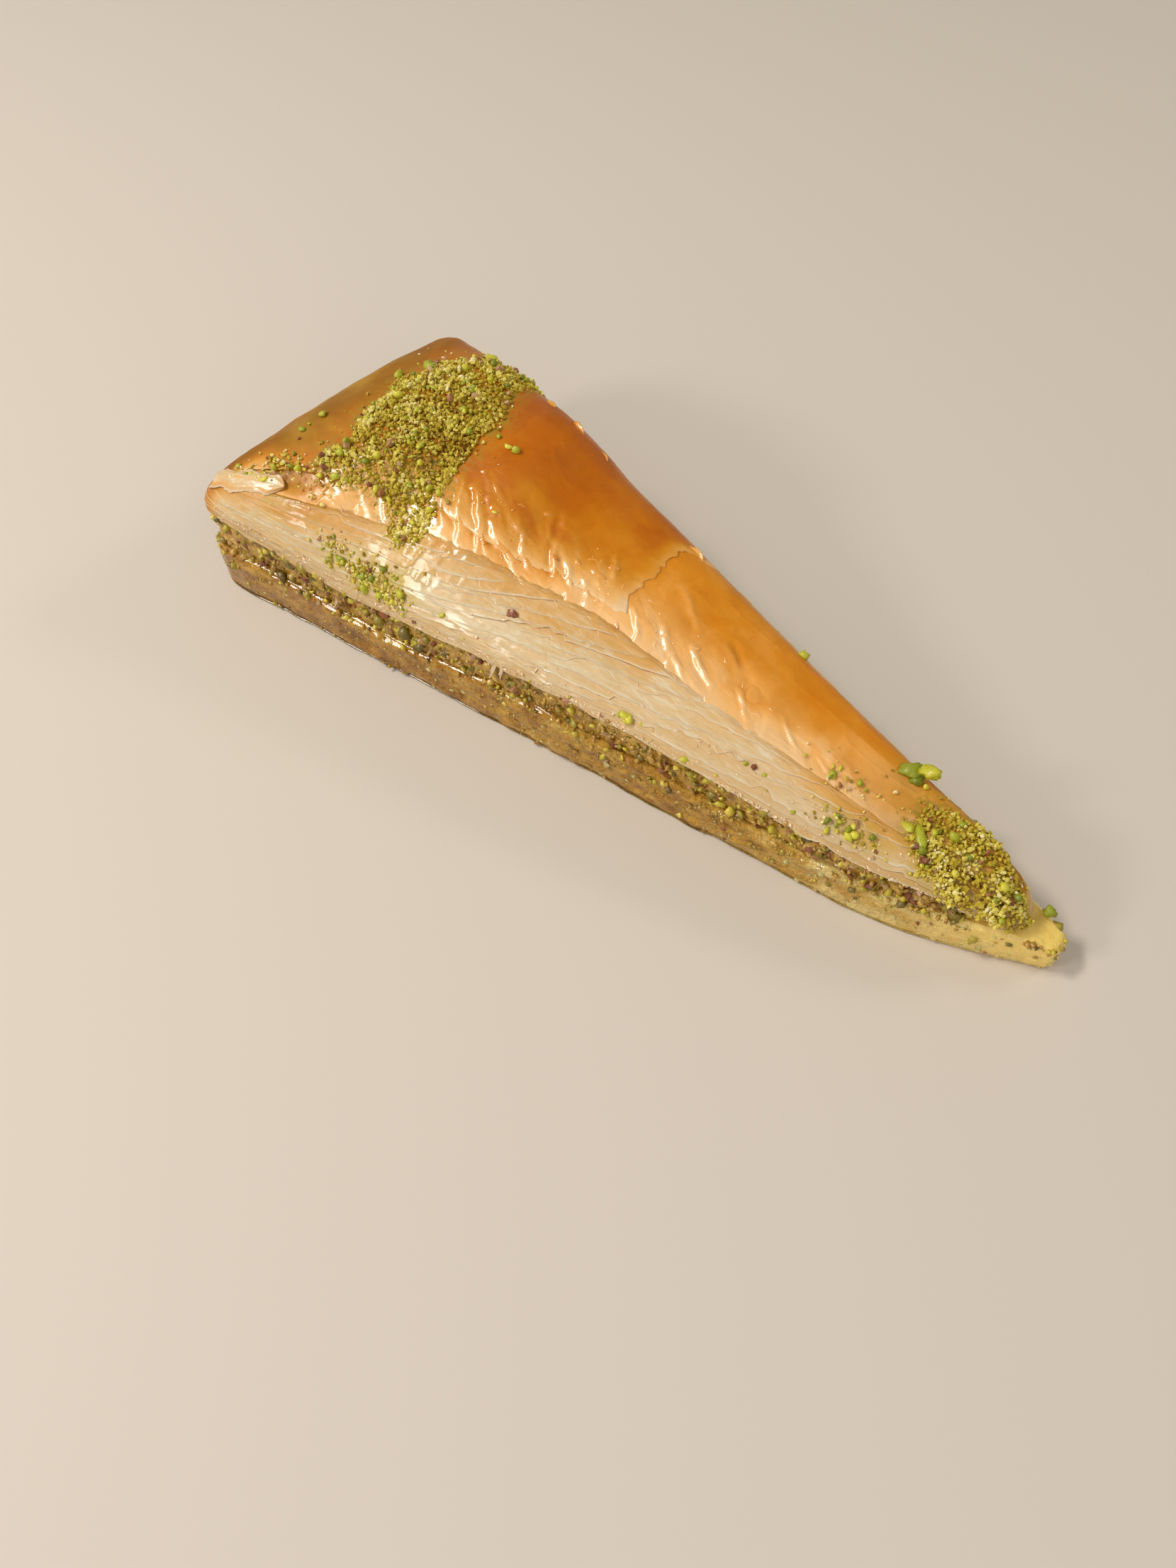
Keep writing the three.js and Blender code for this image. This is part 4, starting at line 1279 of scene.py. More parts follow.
def crust_spots(draw, count, density):
    """Random points on the dome, drawn with a density given for each place and dome angle.

    The dome is cut into cells; a cell is picked with its area times the density, then a point
    inside it is blended from its corners."""
    line = UPPER
    degrees = np.linspace(2, 90, 60)
    grid = np.array([dome(line, d) for d in degrees])
    normal = np.array([dome_normal(line, d) for d in degrees])
    grid[..., 2] += heap_depth(grid[..., 0], grid[..., 1]) * HEAP_SHARE
    a, b = grid[:-1], np.roll(grid, -1, 1)[:-1]
    c, d = np.roll(grid, -1, 1)[1:], grid[1:]
    area = np.linalg.norm(np.cross(c - a, d - b), axis=-1) / 2
    middle = (a + b + c + d) / 4
    weight = (area * density(middle, degrees[:-1, None] + 0 * area)).ravel()
    picked = draw.choice(weight.size, count, p=weight / weight.sum())
    u, v = draw.uniform(size=(2, count, 1))
    flat = [g.reshape(-1, 3)[picked] for g in (a, b, c, d)]
    point = (flat[0] * (1 - u) + flat[1] * u) * (1 - v) + (flat[3] * (1 - u) + flat[2] * u) * v
    return point, normal[:-1].reshape(-1, 3)[picked]


def clumps(points):
    """Where ground nut gathers: 0 in the gaps to 1 on the clumps, a few millimetres apart."""
    return smooth(-0.45, 0.35, layered_noise(points, 2.6, 2, 451))


def covered(points, degrees):
    """Density of ground nut: full inside the covered areas at any angle, gathered in clumps."""
    return smooth(-0.6, 0.5, cover(points)) * (0.35 + 0.65 * clumps(points))


def strewn(points, degrees):
    """Density of loose crumbs: outside the covered areas, thinning over a few millimetres."""
    return np.exp(np.minimum(cover(points), 0) / 3.0) * smooth(6, 20, degrees)


# loose bits on the near side: x, dome angle, spread along x, spread in degrees, fine, green
LOOSE_PATCHES = (
    (41, 18, 7, 6, 190, 20), (48, 14, 4, 5, 80, 8), (33, 22, 4, 5, 50, 7), (146, 34, 8, 10, 50, 14),
    (140, 60, 8, 9, 26, 7), (8, 38, 6, 5, 50, 3), (12, 47, 6, 5, 60, 8), (24, 45, 6, 6, 50, 3),
)


# single crumbs on the near side: kind, x, dome angle, half length, tone
SINGLE_CRUMBS = (
    ("skin", 72.6, 34.9, 1.25, 0.20), ("skin", 72.0, 34.0, 0.7, 0.35),
    ("nut", 102.7, 16.9, 1.35, 0.95), ("nut", 101.0, 16.0, 0.5, 0.5),
    ("nut", 115.7, 10.8, 0.85, 0.75), ("skin", 126.8, 35.3, 0.75, 0.15),
    ("nut", 125.2, 34.0, 0.6, 0.45), ("nut", 129.0, 34.6, 0.45, 0.6),
    ("nut", 50.2, 78.0, 0.95, 0.9), ("nut", 57.4, 58.7, 0.6, 0.98),
    ("nut", 45.8, 45.5, 0.4, 0.8), ("nut", 60.0, 18.1, 0.6, 0.8),
    ("skin", 54.4, 6.3, 0.6, 0.1), ("nut", 105.6, 19.0, 0.35, 0.7),
    ("nut", 137.0, 22.0, 0.5, 0.5), ("nut", 3.4, 72.0, 1.1, 0.55),
    ("nut", 5.7, 64.4, 1.0, 0.35), ("nut", 4.6, 67.5, 0.6, 0.7),
    ("nut", 1.5, 40.0, 0.8, 0.5), ("skin", 9.0, 60.0, 0.5, 0.4),
    ("nut", 91.0, 8.0, 0.35, 0.6), ("nut", 122.0, 13.0, 0.35, 0.8),
    ("nut", 131.0, 26.0, 0.3, 0.5), ("nut", 66.0, 12.0, 0.35, 0.7),
    ("nut", 84.0, 20.0, 0.25, 0.7), ("skin", 98.0, 7.0, 0.4, 0.3),
)


def near_grid():
    """Near side, one row for each degree of the dome: x, points, outward directions, relief of
    the crust and how far it is baked."""
    line = UPPER
    reach = np.arange(70, line.half - 8)
    levels = np.arange(91.0)
    points = [dome(line, d) for d in levels]
    slopes = [dome_normal(line, d) for d in levels]
    relief = [crust_relief(point, d, line)[0] for point, d in zip(points, levels)]
    bake = [crust_bake(point, d, line) for point, d in zip(points, levels)]
    return line.x[reach], *(np.array(grid)[:, reach] for grid in (points, slopes, relief, bake))


NEAR_X, NEAR_POINTS, NEAR_SLOPES, NEAR_RELIEF, NEAR_BAKE = near_grid()


def near_side(x, degrees):
    """Points and outward directions at x and dome angle, blended from the four nearest."""
    column = np.interp(x, NEAR_X, np.arange(len(NEAR_X)))
    row = np.clip(degrees, 0, 89.99) + 0 * column
    c, r = np.minimum(column.astype(int), len(NEAR_X) - 2), row.astype(int)
    u, v = (column - c)[..., None], (row - r)[..., None]

    def read(grid):
        low = grid[r, c] * (1 - u) + grid[r, c + 1] * u
        return low * (1 - v) + (grid[r + 1, c] * (1 - u) + grid[r + 1, c + 1] * u) * v

    return read(NEAR_POINTS), unit(read(NEAR_SLOPES))


def near_column(x):
    """Column of the near grid at x."""
    return int(np.interp(x, NEAR_X, np.arange(len(NEAR_X))))


def crust_stand(x, degrees):
    """How far the crust stands off the dome on the near side."""
    on_top = x < TEAR_X and degrees > np.interp(x, TOP_SHEET_X, TOP_SHEET_START)
    return NEAR_RELIEF[int(degrees), near_column(x)] + (TOP_STAND if on_top else LOWER_STAND)


def syrup_tone(x, degrees):
    """How far syrup looks baked at one place on the near side: a little less than the crust."""
    return float(NEAR_BAKE[int(degrees), near_column(x)]) - 0.09


MEAL_COUNT = 4300  # crumbs in each of the two layers of ground pistachio


def make_nuts():
    """Ground pistachio on the crust: fine meal in two layers, green bits and skins."""
    draw = np.random.default_rng(20)
    meal, green, skins = Pile(), Pile(), Pile()
    for rise in (0.0, 1.3):  # how far the layer rises at the middle of a heap
        point, normal = crust_spots(draw, MEAL_COUNT, covered)
        size = random_sizes(draw, 0.12, 0.46, MEAL_COUNT, 1.6)
        deep = smooth(0.0, 5.0, cover(point)) * draw.uniform(0.0, 1.0, MEAL_COUNT)
        deep = deep * (0.4 + 0.6 * clumps(point))
        tone = 0.30 + 0.35 * clumps(point) * (0.3 + 0.7 * rise / 1.1)
        tone = tone + draw.normal(0, 0.11, MEAL_COUNT)
        # painted shade: crumbs facing up on the wide heap's crown are painted browner against top
        # light
        shaded_crown = smooth(28, 38, point[:, 0]) * fade(50, 70, point[:, 0])
        tone = tone - 0.16 * shaded_crown * smooth(0.86, 0.97, normal[:, 2])
        scatter(meal, draw, point + normal * (0.08 + size * 0.5 + rise * deep)[:, None], size, 1.5,
                0.5, tone=np.clip(tone, 0.02, 1))
    # pile, count, density, smallest, largest, power, lift, stretch, roughness, detail
    for pile, count, density, low, high, power, lift, stretch, rough, detail in (
            (meal, 420, strewn, 0.10, 0.34, 1, 0.12, 1.5, 0.5, 0),
            (green, 150, covered, 0.30, 0.85, 2, 0.7, 1.4, 0.3, 1),
            (green, 26, strewn, 0.3, 0.7, 1, 0.15, 1.5, 0.3, 1),
            (skins, 55, covered, 0.3, 0.7, 1, 0.7, 1.6, 0.4, 0)):
        point, normal = crust_spots(draw, count, density)
        size = random_sizes(draw, low, high, count, power)
        scatter(pile, draw, point + normal * (lift + size * 0.4)[:, None], size, stretch, rough,
                detail)
    for x, angle, long, wide, fine, large in LOOSE_PATCHES:
        for pile, count, low, high in ((meal, fine, 0.14, 0.42), (green, large, 0.3, 0.75),
                                       (skins, 1 + large // 6, 0.3, 0.55)):
            point, normal = near_side(draw.normal(x, long * 0.6, count),
                                      draw.normal(angle, wide * 0.6, count))
            size = random_sizes(draw, low, high, count, 1.5)
            scatter(pile, draw, point + normal * (0.2 + size * 0.3)[:, None], size, 1.5, 0.4,
                    int(pile is green))
    for kind, x, angle, size, tone in SINGLE_CRUMBS:
        point, normal = near_side([x], angle)
        frames = frames_on(normal, np.array([1.0, 0.0, 0.0]), draw, 0.3)
        sizes = np.array([[1.0, 0.72, 0.45]]) * size
        scatter(skins if kind == "skin" else green, draw, point + normal * size * 0.35, sizes, 1.25,
                0.3, 0 if kind == "skin" else 1, frames, np.array([tone]))
    meal.make("ground_pistachio", NUT_LIGHT, "ground_filling", flat=True)
    green.make("green_pistachio_bits", NUT_GREEN, "ground_filling")
    skins.make("pistachio_skins", NUT_SKIN, "ground_filling", flat=True)


# large pieces of pistachio: x, y, height, half sizes, direction in plan
LARGE_PIECES = (
    (148.6, 4.6, 18.9, (2.2, 1.8, 1.3), 60), (151.6, 5.0, 20.6, (2.2, 1.5, 1.1), -20),
    (150.2, 3.6, 18.4, (1.5, 1.1, 1.0), 10), (157.0, -5.4, 17.6, (2.7, 0.9, 0.7), -62),
    (154.2, -5.2, 17.4, (2.1, 0.8, 0.6), -75), (181.0, 2.0, 9.0, (1.2, 0.9, 1.2), 30),
    (102.5, -21.0, 20.6, (1.7, 0.9, 0.5), 20), (119.0, 11.5, 22.0, (1.3, 0.9, 0.8), 10),
    (27.0, 23.2, 37.7, (1.4, 1.1, 0.9), 40), (19.0, 12.8, 38.2, (1.5, 1.1, 0.9), 0),
    (20.2, 13.8, 38.2, (1.2, 0.9, 0.8), 70), (15.4, 7.3, 37.3, (1.1, 0.8, 0.7), 120),
)


def make_large_pieces():
    """A few large cut pistachio pieces, rounded and lumpy."""
    draw = np.random.default_rng(46)
    pile = Pile()
    for x, y, z, sizes, turn in LARGE_PIECES:
        along = np.array([[math.cos(math.radians(turn)), math.sin(math.radians(turn)), 0.0]])
        frame_here = frames_on(np.array([[0.0, 0.0, 1.0]]), along, draw, 0.25)
        first = pile.size  # so that each piece gets lumps of its own
        scatter(pile, draw, np.array([[x, y, z]]), [sizes], 1.05, 0.20, 2, frame_here)
        shape = pile.points[-1]
        lump = 1 + 0.55 * layered_noise(shape + first, 1.0, 2, 481)
        pile.points[-1] = (x, y, z) + (shape - (x, y, z)) * lump[:, None]
    pile.make("large_pistachio_pieces", NUT_GREEN, "ground_filling")


def make_filling_crumbs():
    """Crumbs of the filling: they stick out of the core all round, crowded and uneven.

    Some have slid down over the upper part of the base."""
    draw = np.random.default_rng(33)
    line = FILLING
    piles = {"paste": Pile(), "green": Pile(), "skins": Pile()}
    # kind, how many, smallest and largest
    for key, count, low, high in (("paste", 1300, 0.2, 0.8), ("green", 900, 0.3, 1.15),
                                  ("skins", 360, 0.25, 0.9)):
        index = draw.integers(0, line.count, count)
        crowd = 0.5 + 0.5 * noise(ring_points(line)[index], 12.0, 421)
        level = draw.uniform(0.0, 1.0, count) ** (0.6 + 0.8 * crowd)
        size = random_sizes(draw, low, high, count, 2.2)
        x, y = line.pushed(draw.uniform(-0.35, 0.45, count), index)
        lower, upper = base_top(x) + 0.1, filling_top(x) + NODE_GAP + 0.2
        centre = np.stack([x, y, lower + (upper - lower) * level], -1)
        scatter(piles[key], draw, centre, size, 1.5, 0.55)
    side = BASE
    for key, count, low, high in (("green", 260, 0.2, 0.85), ("paste", 420, 0.15, 0.6),
                                  ("skins", 60, 0.2, 0.6)):
        index = draw.integers(0, side.count, count)
        fall = draw.exponential(0.22, count)
        z = base_top(side.x[index]) * np.clip(1 - fall, 0.08, 1)
        x, y = side.pushed(draw.uniform(-0.35, 0.02, count), index)
        size = draw.uniform(low, high, count)
        scatter(piles[key], draw, np.stack([x, y, z], -1), size, 1.4)
    piles["paste"].make("filling_crumbs", FILLING_PAINT, "ground_filling")
    piles["green"].make("filling_green_bits", NUT_WET, "ground_filling")
    piles["skins"].make("filling_skins", NUT_SKIN, "ground_filling", flat=True)


def make_base_lumps():
    """Wet lumps of dough that break the cut side of the base."""
    draw = np.random.default_rng(91)
    corners, faces = crumb_shape(1)
    count = 1100
    index = draw.integers(0, BASE.count, count)
    level = draw.uniform(0.06, 0.95, count)
    x = BASE.x[index]
    size = random_sizes(draw, 0.16, 0.58, count, 2)
    out = BASE.out[index]
    shown = (1 - BASE.baked[index]) * (0.6 + 0.4 * smooth(24, 40, x))
    height = level * base_top(x)
    swell = base_swell(np.stack([x, BASE.y[index], height], 1))
    centre_x, centre_y = BASE.pushed(swell * base_unevenness(x) - 0.10, index)
    centre = np.stack([centre_x, centre_y, height], 1)
    normal = spread(out[:, 0], out[:, 1], 0.4)
    frames = frames_on(unit(normal), np.array([1.0, 0.0, 0.0]), draw, 0.4)
    sizes = np.stack([size * draw.uniform(1, 2.0, count), size, size * 0.6], 1) * shown[:, None]
    tone = 0.34 - 0.3 * smooth(PALER_FROM, PALER_TO, x) + draw.normal(0, 0.25, count)
    tone = np.clip(tone, 0, 1)
    seen = shown > 0.1
    glow = 0.8 * smooth(GLOW_FROM, GLOW_TO, x)
    pile = Pile()
    shapes = corners * sizes[seen, None]
    pile.add(*placed(shapes, faces, frames[seen], centre[seen]),
             bake=np.repeat(tone[seen], len(corners)), glow=np.repeat(glow[seen], len(corners)))
    pile.make("base_lumps", BASE_PAINT, "soaked_pastry")


# ---------------------------------------------------------------- loose leaf

SCRAP_ROWS, SCRAP_COLUMNS = 9, 7  # points along and across a scrap


def thin_sheet(pile, centre, across, along, curl, seed, thick, ragged, **values):
    """Closed scrap of leaf: a grid from its root along its length, ragged, tapered and curled.

    Across and along are half the width and the whole length as vectors; curl lifts its far end
    by curl times the square of the way along."""
    rows, columns = SCRAP_ROWS, SCRAP_COLUMNS
    v = np.linspace(0, 1, rows)[:, None]
    u = np.linspace(-1, 1, columns)[None, :]
    spot = spread(u, 3 * v, 0.0)
    wide = 1 - 0.45 * v ** 2 + ragged * noise(spot, (9.0, 0.8, 1.0), seed) * v
    long = v * (1 - 0.3 * u ** 4 + ragged * noise(spot, (0.7, 9.0, 1.0), seed + 1))
    up = unit(np.cross(across, along))
    lift = curl * v ** 2 + 0.14 * noise(spot, (1.1, 1.3, 1.0), seed + 2) * np.linalg.norm(across)
    point = centre + (u * wide)[..., None] * across + long[..., None] * along + lift[..., None] * up
    under = point - up * thick * (1 - 0.6 * v[..., None])
    size = rows * columns
    grid = grid_faces(rows, columns)
    index = np.arange(size).reshape(rows, columns)
    border = np.concatenate([index[0, :-1], index[:-1, -1], index[-1, :0:-1], index[::-1, 0]])
    faces = np.concatenate([grid, (grid + size)[:, ::-1], strip_faces(border + size, border)])
    pile.add(np.concatenate([point.reshape(-1, 3), under.reshape(-1, 3)]), faces, **values)


# torn scraps of crust that stand out behind the ridge: x, dome angle, half width, length, curl
BACK_SCRAPS = (
    (47, 61, 2.2, 1.7, 0.1), (55, 60.5, 2.8, 1.7, 0.2), (63, 60.5, 2.0, 1.5, 0.1),
    (91, 60, 2.6, 1.6, 0.2),
)


def make_scraps():
    """Torn scraps of crust that stand out behind the ridge."""
    pile = Pile()
    line = UPPER
    reach = np.arange(line.half + 14, line.count - 70)[::-1]
    for number, (x, angle, wide, long, curl) in enumerate(BACK_SCRAPS):
        index = int(round(float(np.interp(x, line.x[reach], reach))))
        centre = dome(line, float(angle))[index] + (0, 0, 0.15)
        out = np.array([line.out[index, 0], line.out[index, 1], 0.30])
        across = np.array([line.out[index, 1], -line.out[index, 0], -0.16])
        thin_sheet(pile, centre - out * 0.8, across * wide, out * long, curl, 500 + 5 * number,
                   0.12, 0.10, bake=0.46 if x < 80 else 0.4, gloss=0.5, scorch=0.0, dust=0.0)
    pile.make("torn_scraps", CRUST_PAINT, "baked_pastry")


# tongues of the hanging shred: x, dome angle, half width, length, direction in degrees, curl
TONGUES = (
    (74.0, 2.0, 0.5, 3.4, -100, 0.5), (75.5, 2.5, 0.35, 2.4, -75, 0.7),
    (72.8, 2.0, 0.3, 2.0, -110, 0.4),
)


def make_hanging_shred():
    """One torn shred of leaf, in three tongues, that hangs down over the filling."""
    pile = Pile()
    for number, (x, angle, wide, long, heading, curl) in enumerate(TONGUES):
        (centre,), (normal,) = near_side([x], angle)
        level = unit(np.cross(np.array([0.0, 0.0, 1.0]), normal))
        rise = np.cross(normal, level)
        turn = math.radians(heading)
        along = level * math.cos(turn) + rise * math.sin(turn)
        across = np.cross(along, normal)
        uv = np.tile([[x, 0.33 * angle + 3.1 * number]], (2 * SCRAP_ROWS * SCRAP_COLUMNS, 1))
        reach = (along + normal * 0.04) * long
        # a faint painted highlight on the lip of the shred
        thin_sheet(pile, centre + normal * 0.04, across * wide, reach, curl, 600 + 5 * number, 0.04,
                   0.25, uv=uv, bake=0.0, crease=0.0, lip=0.15, dust=0.0,
                   soaked=soaked_amount(x, angle / 50))
    pile.make("hanging_shred", LEAF_PAINT, "baked_pastry")


def make_rolled_flap():
    """Leaf that has slid over at the wide corner: a low, creased roll with an open lower lip.

    Its section is a flat oval whose downhill end is pulled out into a thin ragged lip, and three
    wandering folds run along its top."""
    steps, around = 84, 36
    along = np.linspace(0, 1, steps)[:, None]
    turn = np.linspace(0, 2 * np.pi, around, endpoint=False)[None, :]
    x = -1.8 + 19.4 * along[:, 0]
    angle = 33.0 + 2.5 * along[:, 0] - 5.0 * (1 - along[:, 0]) ** 4
    centre, normal = near_side(x, angle)
    slope = unit(near_side(x, angle + 3)[0] - centre)
    uphill, height = np.cos(turn), np.sin(turn)
    spot = spread(18 * along, 2.2 * uphill, 0.8 * height)
    end = np.clip(along / 0.05, 0.01, 1) ** 0.5 * np.clip((1 - along) / 0.16, 0.01, 1) ** 0.6
    ragged = 1 + 0.38 * layered_noise(spot * (1, 0, 0), (2.2, 1.0, 1.0), 3, 477)
    wide = 2.2 * end * ragged * (1 + 0.25 * np.clip(-uphill, 0, 1) ** 3)
    tall = 0.26 * end * (1 + 0.5 * layered_noise(spot, (4.0, 1.6, 1.6), 3, 471))
    tall = tall * (1 - 0.6 * smooth(0.2, 1.0, -uphill))
    fold = 0.30 * (1 - np.abs(noise(spot, (7.0, 0.8, 9.0), 479))) ** 4
    # folds: place across the roll, height and seed
    for place, high, seed in ((0.50, 0.26, 481), (0.02, 0.20, 483), (-0.48, 0.20, 485)):
        drift = place + 0.22 * noise(spot * (1, 0, 0), (4.0, 1.0, 1.0), seed)
        fold = fold + high * bell(uphill, drift, 0.10)
    fold = fold * np.clip(height, 0, 1) ** 0.5
    point = centre[:, None] + (wide * uphill)[..., None] * slope[:, None]
    lift = 0.15 + tall * height + fold - 0.25 * np.clip(-uphill, 0, 1) ** 2
    point = point + lift[..., None] * normal[:, None]
    bake = 0.02 + 0.34 * smooth(0.35, 0.95, -uphill) + 0.16 * smooth(0.6, 1.0, uphill)
    bake = bake + 0.10 * layered_noise(spot, (5.0, 1.4, 2.0), 2, 475)
    bake = bake + 0.12 * smooth(0.85, 1.0, along)
    uv = spread(18 * along, 1.2 * uphill)
    none = 0 * bake
    # painted highlight along both edges of the roll
    lip = 0.8 * smooth(0.80, 0.97, np.abs(uphill)) + none
    make_piece("rolled_flap", point, tube_faces(steps, around), LEAF_PAINT, (),
               {"bake": bake, "crease": none, "lip": lip, "dust": none, "soaked": none}, uv)


THREADS = 34


def make_threads():
    """Threads and shreds of leaf on the near side.

    A thread runs along the leaves with a slow wobble and tapers to both ends. Shreds are flat,
    small and crowded at the frayed lower rim."""
    draw = np.random.default_rng(71)
    pile = Pile()
    steps, sides = 12, 4
    share = np.linspace(0, 1, steps)
    turn = np.arange(sides) / sides * 2 * np.pi
    for _ in range(THREADS):
        x = draw.uniform(26, 122)
        middle = np.interp(x, (26, 60, 90, 130), (38, 40, 46, 48))
        angle = middle + draw.normal(0, 6.5)
        long = draw.uniform(1.5, 5.0)
        heading = draw.normal(-0.3, 0.35)
        wobble = 1.3 * np.sin(share * draw.uniform(2, 6) + draw.uniform(0, 6))
        point, normal = near_side(x + long * share, angle + heading * long * share + wobble)
        along = unit(np.gradient(point, axis=0))
        beside = np.cross(normal, along)
        radius = draw.uniform(0.05, 0.10) * np.sin(np.pi * np.clip(share, 0.02, 0.98)) ** 0.5
        ring = point[:, None] + normal[:, None] * 0.06
        ring = ring + (radius[:, None] * np.cos(turn))[..., None] * beside[:, None] * 1.4
        ring = ring + (radius[:, None] * np.sin(turn))[..., None] * normal[:, None]
        pile.add(ring, tube_faces(steps, sides), tone=draw.uniform(0.2, 1.0))
    pile.make("leaf_threads", SHRED_PAINT, "baked_pastry")
    pile = Pile()
    # shreds: how many, and between which dome angles
    for count, low, high in ((480, 1.0, 9.0), (100, 10.0, 40.0)):
        x = draw.uniform(3, 172, count)
        point, normal = near_side(x, draw.uniform(low, high, count))
        frames = frames_on(normal, np.array([1.0, 0.0, -0.3]), draw, 0.35)
        length = draw.uniform(0.25, 0.8, count)
        beam, depth = draw.uniform(0.08, 0.24, count), draw.uniform(0.03, 0.06, count)
        sizes = np.stack([length, beam, depth], 1)
        scatter(pile, draw, point + normal * draw.uniform(0.02, 0.16, (count, 1)), sizes,
                1.15, 0.35, 0, frames)
    pile.make("torn_shreds", SHRED_PAINT, "baked_pastry")


# pools of syrup on the near side: x, dome angle, half length, half width, direction in degrees
POOLS = (
    (51.0, 61.0, 1.5, 0.9, 20), (54.5, 64.5, 1.1, 0.5, -40), (50.0, 67.0, 0.9, 0.5, 60),
    (57.0, 60.0, 1.3, 0.8, 0), (60.5, 66.0, 0.8, 0.4, 30), (53.0, 57.5, 1.0, 0.4, -10),
    (65.0, 70.0, 0.9, 0.4, 50), (78.0, 68.5, 1.1, 0.4, 35), (76.0, 64.0, 0.9, 0.5, -30),
    (80.5, 65.0, 1.6, 0.6, -5), (83.5, 62.0, 0.9, 0.4, 40), (82.0, 71.0, 1.2, 0.5, 15),
    (86.0, 67.0, 0.7, 0.4, -60), (84.0, 57.0, 0.8, 0.4, 10), (79.0, 58.5, 0.8, 0.3, 70),
    (72.0, 60.0, 0.7, 0.4, 20), (98.0, 57.0, 0.8, 0.4, -50), (104.0, 66.0, 0.9, 0.4, 30),
    (110.0, 71.0, 0.8, 0.4, -20), (118.3, 66.5, 2.2, 1.5, 0), (121.0, 60.0, 1.0, 0.5, 30),
    (92.0, 70.0, 0.7, 0.4, 0), (90.0, 54.0, 0.8, 0.4, -30), (68.0, 52.0, 0.7, 0.3, 60),
)


def make_pools():
    """Pools and drops of syrup: low caps, wavy in outline, as amber as the crust below."""
    draw = np.random.default_rng(58)
    pile = Pile()
    around, shares = 24, np.array([1.0, 1.0, 0.94, 0.82, 0.62, 0.34])
    turn = np.arange(around) / around * 2 * np.pi
    spots = list(POOLS)
    # clusters of small drops: x, dome angle, how many
    for x, angle, count in ((54, 62, 16), (81, 65, 20), (100, 64, 8), (118, 66, 8), (64, 50, 10)):
        for _ in range(count):
            spots.append((draw.normal(x, 4), draw.normal(angle, 5), draw.uniform(0.2, 0.5),
                          draw.uniform(0.12, 0.28), draw.uniform(0, 180)))
    for x, angle, long, wide, heading in spots:
        point, normal = near_side([x], angle)
        axes = frames_on(normal, np.array([1.0, 0.0, 0.0]), draw, 0.0)[0]
        wave = 1 + 0.22 * np.sin(2 * turn + draw.uniform(0, 6))
        wave = wave + 0.12 * np.sin(3 * turn + draw.uniform(0, 6))
        tilt = math.radians(heading)
        u, v = long * wave * np.cos(turn), wide * wave * np.sin(turn)
        first = u * math.cos(tilt) - v * math.sin(tilt)
        second = u * math.sin(tilt) + v * math.cos(tilt)
        rise = min(0.26, 0.45 * wide) * (1 - shares ** 2.4) - 0.04
        rise[0] = -0.35
        across = shares[:, None]
        shape = spread(across * first, across * second, rise[:, None])
        shape = shape.reshape(-1, 3) @ axes.T + point + normal * crust_stand(x, angle)
        pile.add(shape, tube_faces(len(shares), around), bake=syrup_tone(x, angle))
    pile.make("syrup_pools", SYRUP_PAINT, "baked_pastry")


# ---------------------------------------------------------------- stage

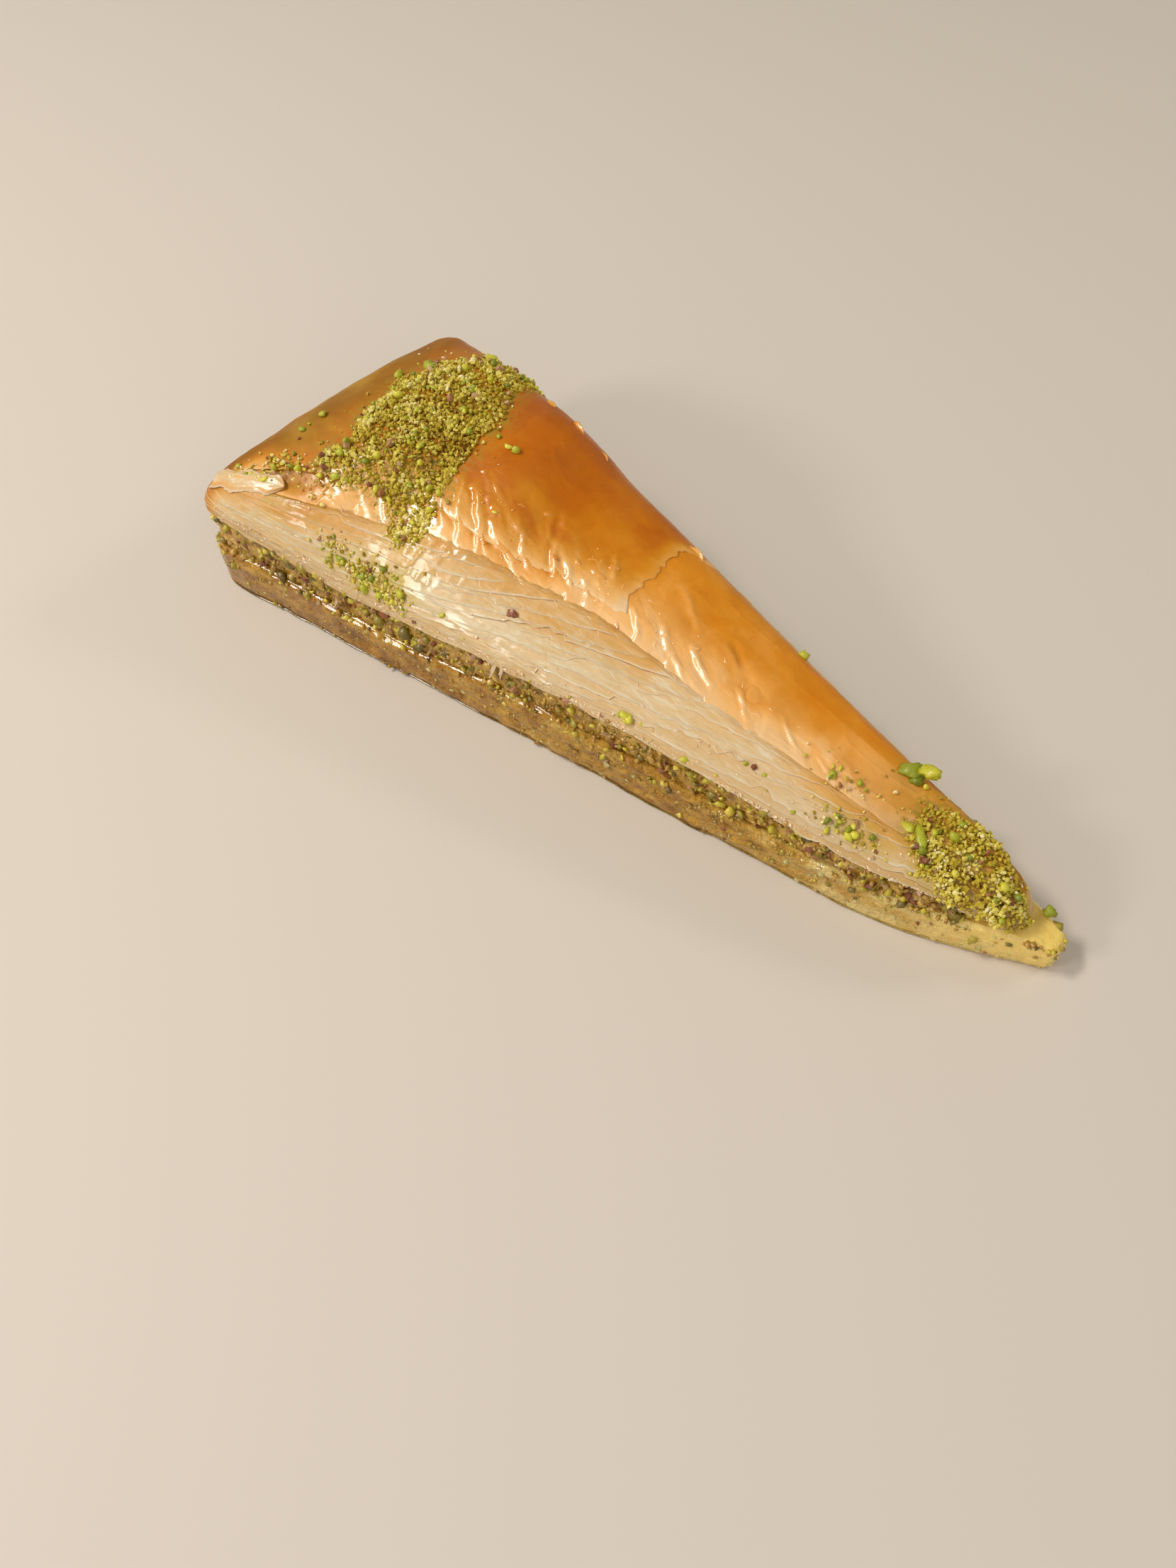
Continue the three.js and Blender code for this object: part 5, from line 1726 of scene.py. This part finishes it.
# name, place, size, power, colour, whether it is seen in gloss, whether it lights dull surfaces
LAMPS = (
    ("window", (-0.54, -0.34, 0.82), (0.26, 0.12), 4.9, (1.0, 0.95, 0.87), True, True),
    ("spark", (-0.50, -0.24, 0.86), (0.03, 0.03), 0.45, (1.0, 0.97, 0.92), True, True),
    ("low_spark", (-0.42, -0.80, 0.52), (0.22, 0.16), 2.5, (1.0, 0.97, 0.92), True, True),
    ("sheen", (-0.50, -0.62, 0.68), (0.34, 0.26), 5.6, (1.0, 0.98, 0.95), True, False),
    ("glint", (0.14, -0.92, 0.36), (0.05, 0.05), 0.7, (1.0, 0.98, 0.95), True, False),
    ("back", (0.45, 0.75, 0.55), (0.3, 0.12), 1.5, (1.0, 0.95, 0.88), False, True),
    ("front", (0.10, -0.95, 0.35), (0.8, 0.3), 0.4, (1.0, 0.95, 0.88), False, True),
    ("fill", (0.75, -0.55, 0.5), (0.7, 0.5), 1.7, (1.0, 0.96, 0.92), True, True),
)


def make_stage():
    """Floor, soft lights, all aimed just above its middle, and the camera."""
    floor = bpy.data.meshes.new("floor")
    reach = 2.0
    corners = [(-reach, -reach, 0), (reach, -reach, 0), (reach, reach, 0), (-reach, reach, 0)]
    floor.from_pydata(corners, [], [(0, 1, 2, 3)])
    s = Shader("pale floor")
    floor.materials.append(s.surface(Base_Color=shade("D9CFC2"), Roughness=0.6,
                                     Specular_IOR_Level=0.2))
    ground = add_object("floor", floor)
    ground.location.z = -0.0002

    for name, place, size, power, color, reflected, scattered in LAMPS:
        light = bpy.data.lights.new(name, "AREA")
        light.shape = "RECTANGLE"
        light.size, light.size_y = size
        light.energy = power
        light.color = color
        holder = add_object(name, light)
        holder.location = place
        away = np.array(place) - (0, 0, 0.02)
        flat = math.hypot(away[0], away[1])
        holder.rotation_euler = (math.atan2(flat, away[2]), 0, math.atan2(away[0], -away[1]))
        holder.visible_glossy = reflected
        holder.visible_diffuse = scattered

    world = bpy.data.worlds.new("studio")
    bpy.context.scene.world = world
    world.use_nodes = True
    background = world.node_tree.nodes["Background"]
    background.inputs["Color"].default_value = (1.0, 0.96, 0.9, 1)
    background.inputs["Strength"].default_value = 0.31

    view = bpy.data.cameras.new("camera")
    view.lens = 27.03
    view.sensor_width = 36.0
    camera = add_object("camera", view)
    camera.location = (0.09457, -0.12537, 0.1924)
    camera.rotation_euler = (math.radians(34.7), 0.0, math.radians(41.08))
    bpy.context.scene.camera = camera
    bpy.context.scene.view_settings.view_transform = "Standard"


make_stage()
make_base()
make_base_lumps()
make_filling_core()
make_filling_crumbs()
make_upper_core()
make_leaves()
make_crust()
make_top_sheet()
make_nuts()
make_large_pieces()
make_scraps()
make_hanging_shred()
make_rolled_flap()
make_threads()
make_pools()
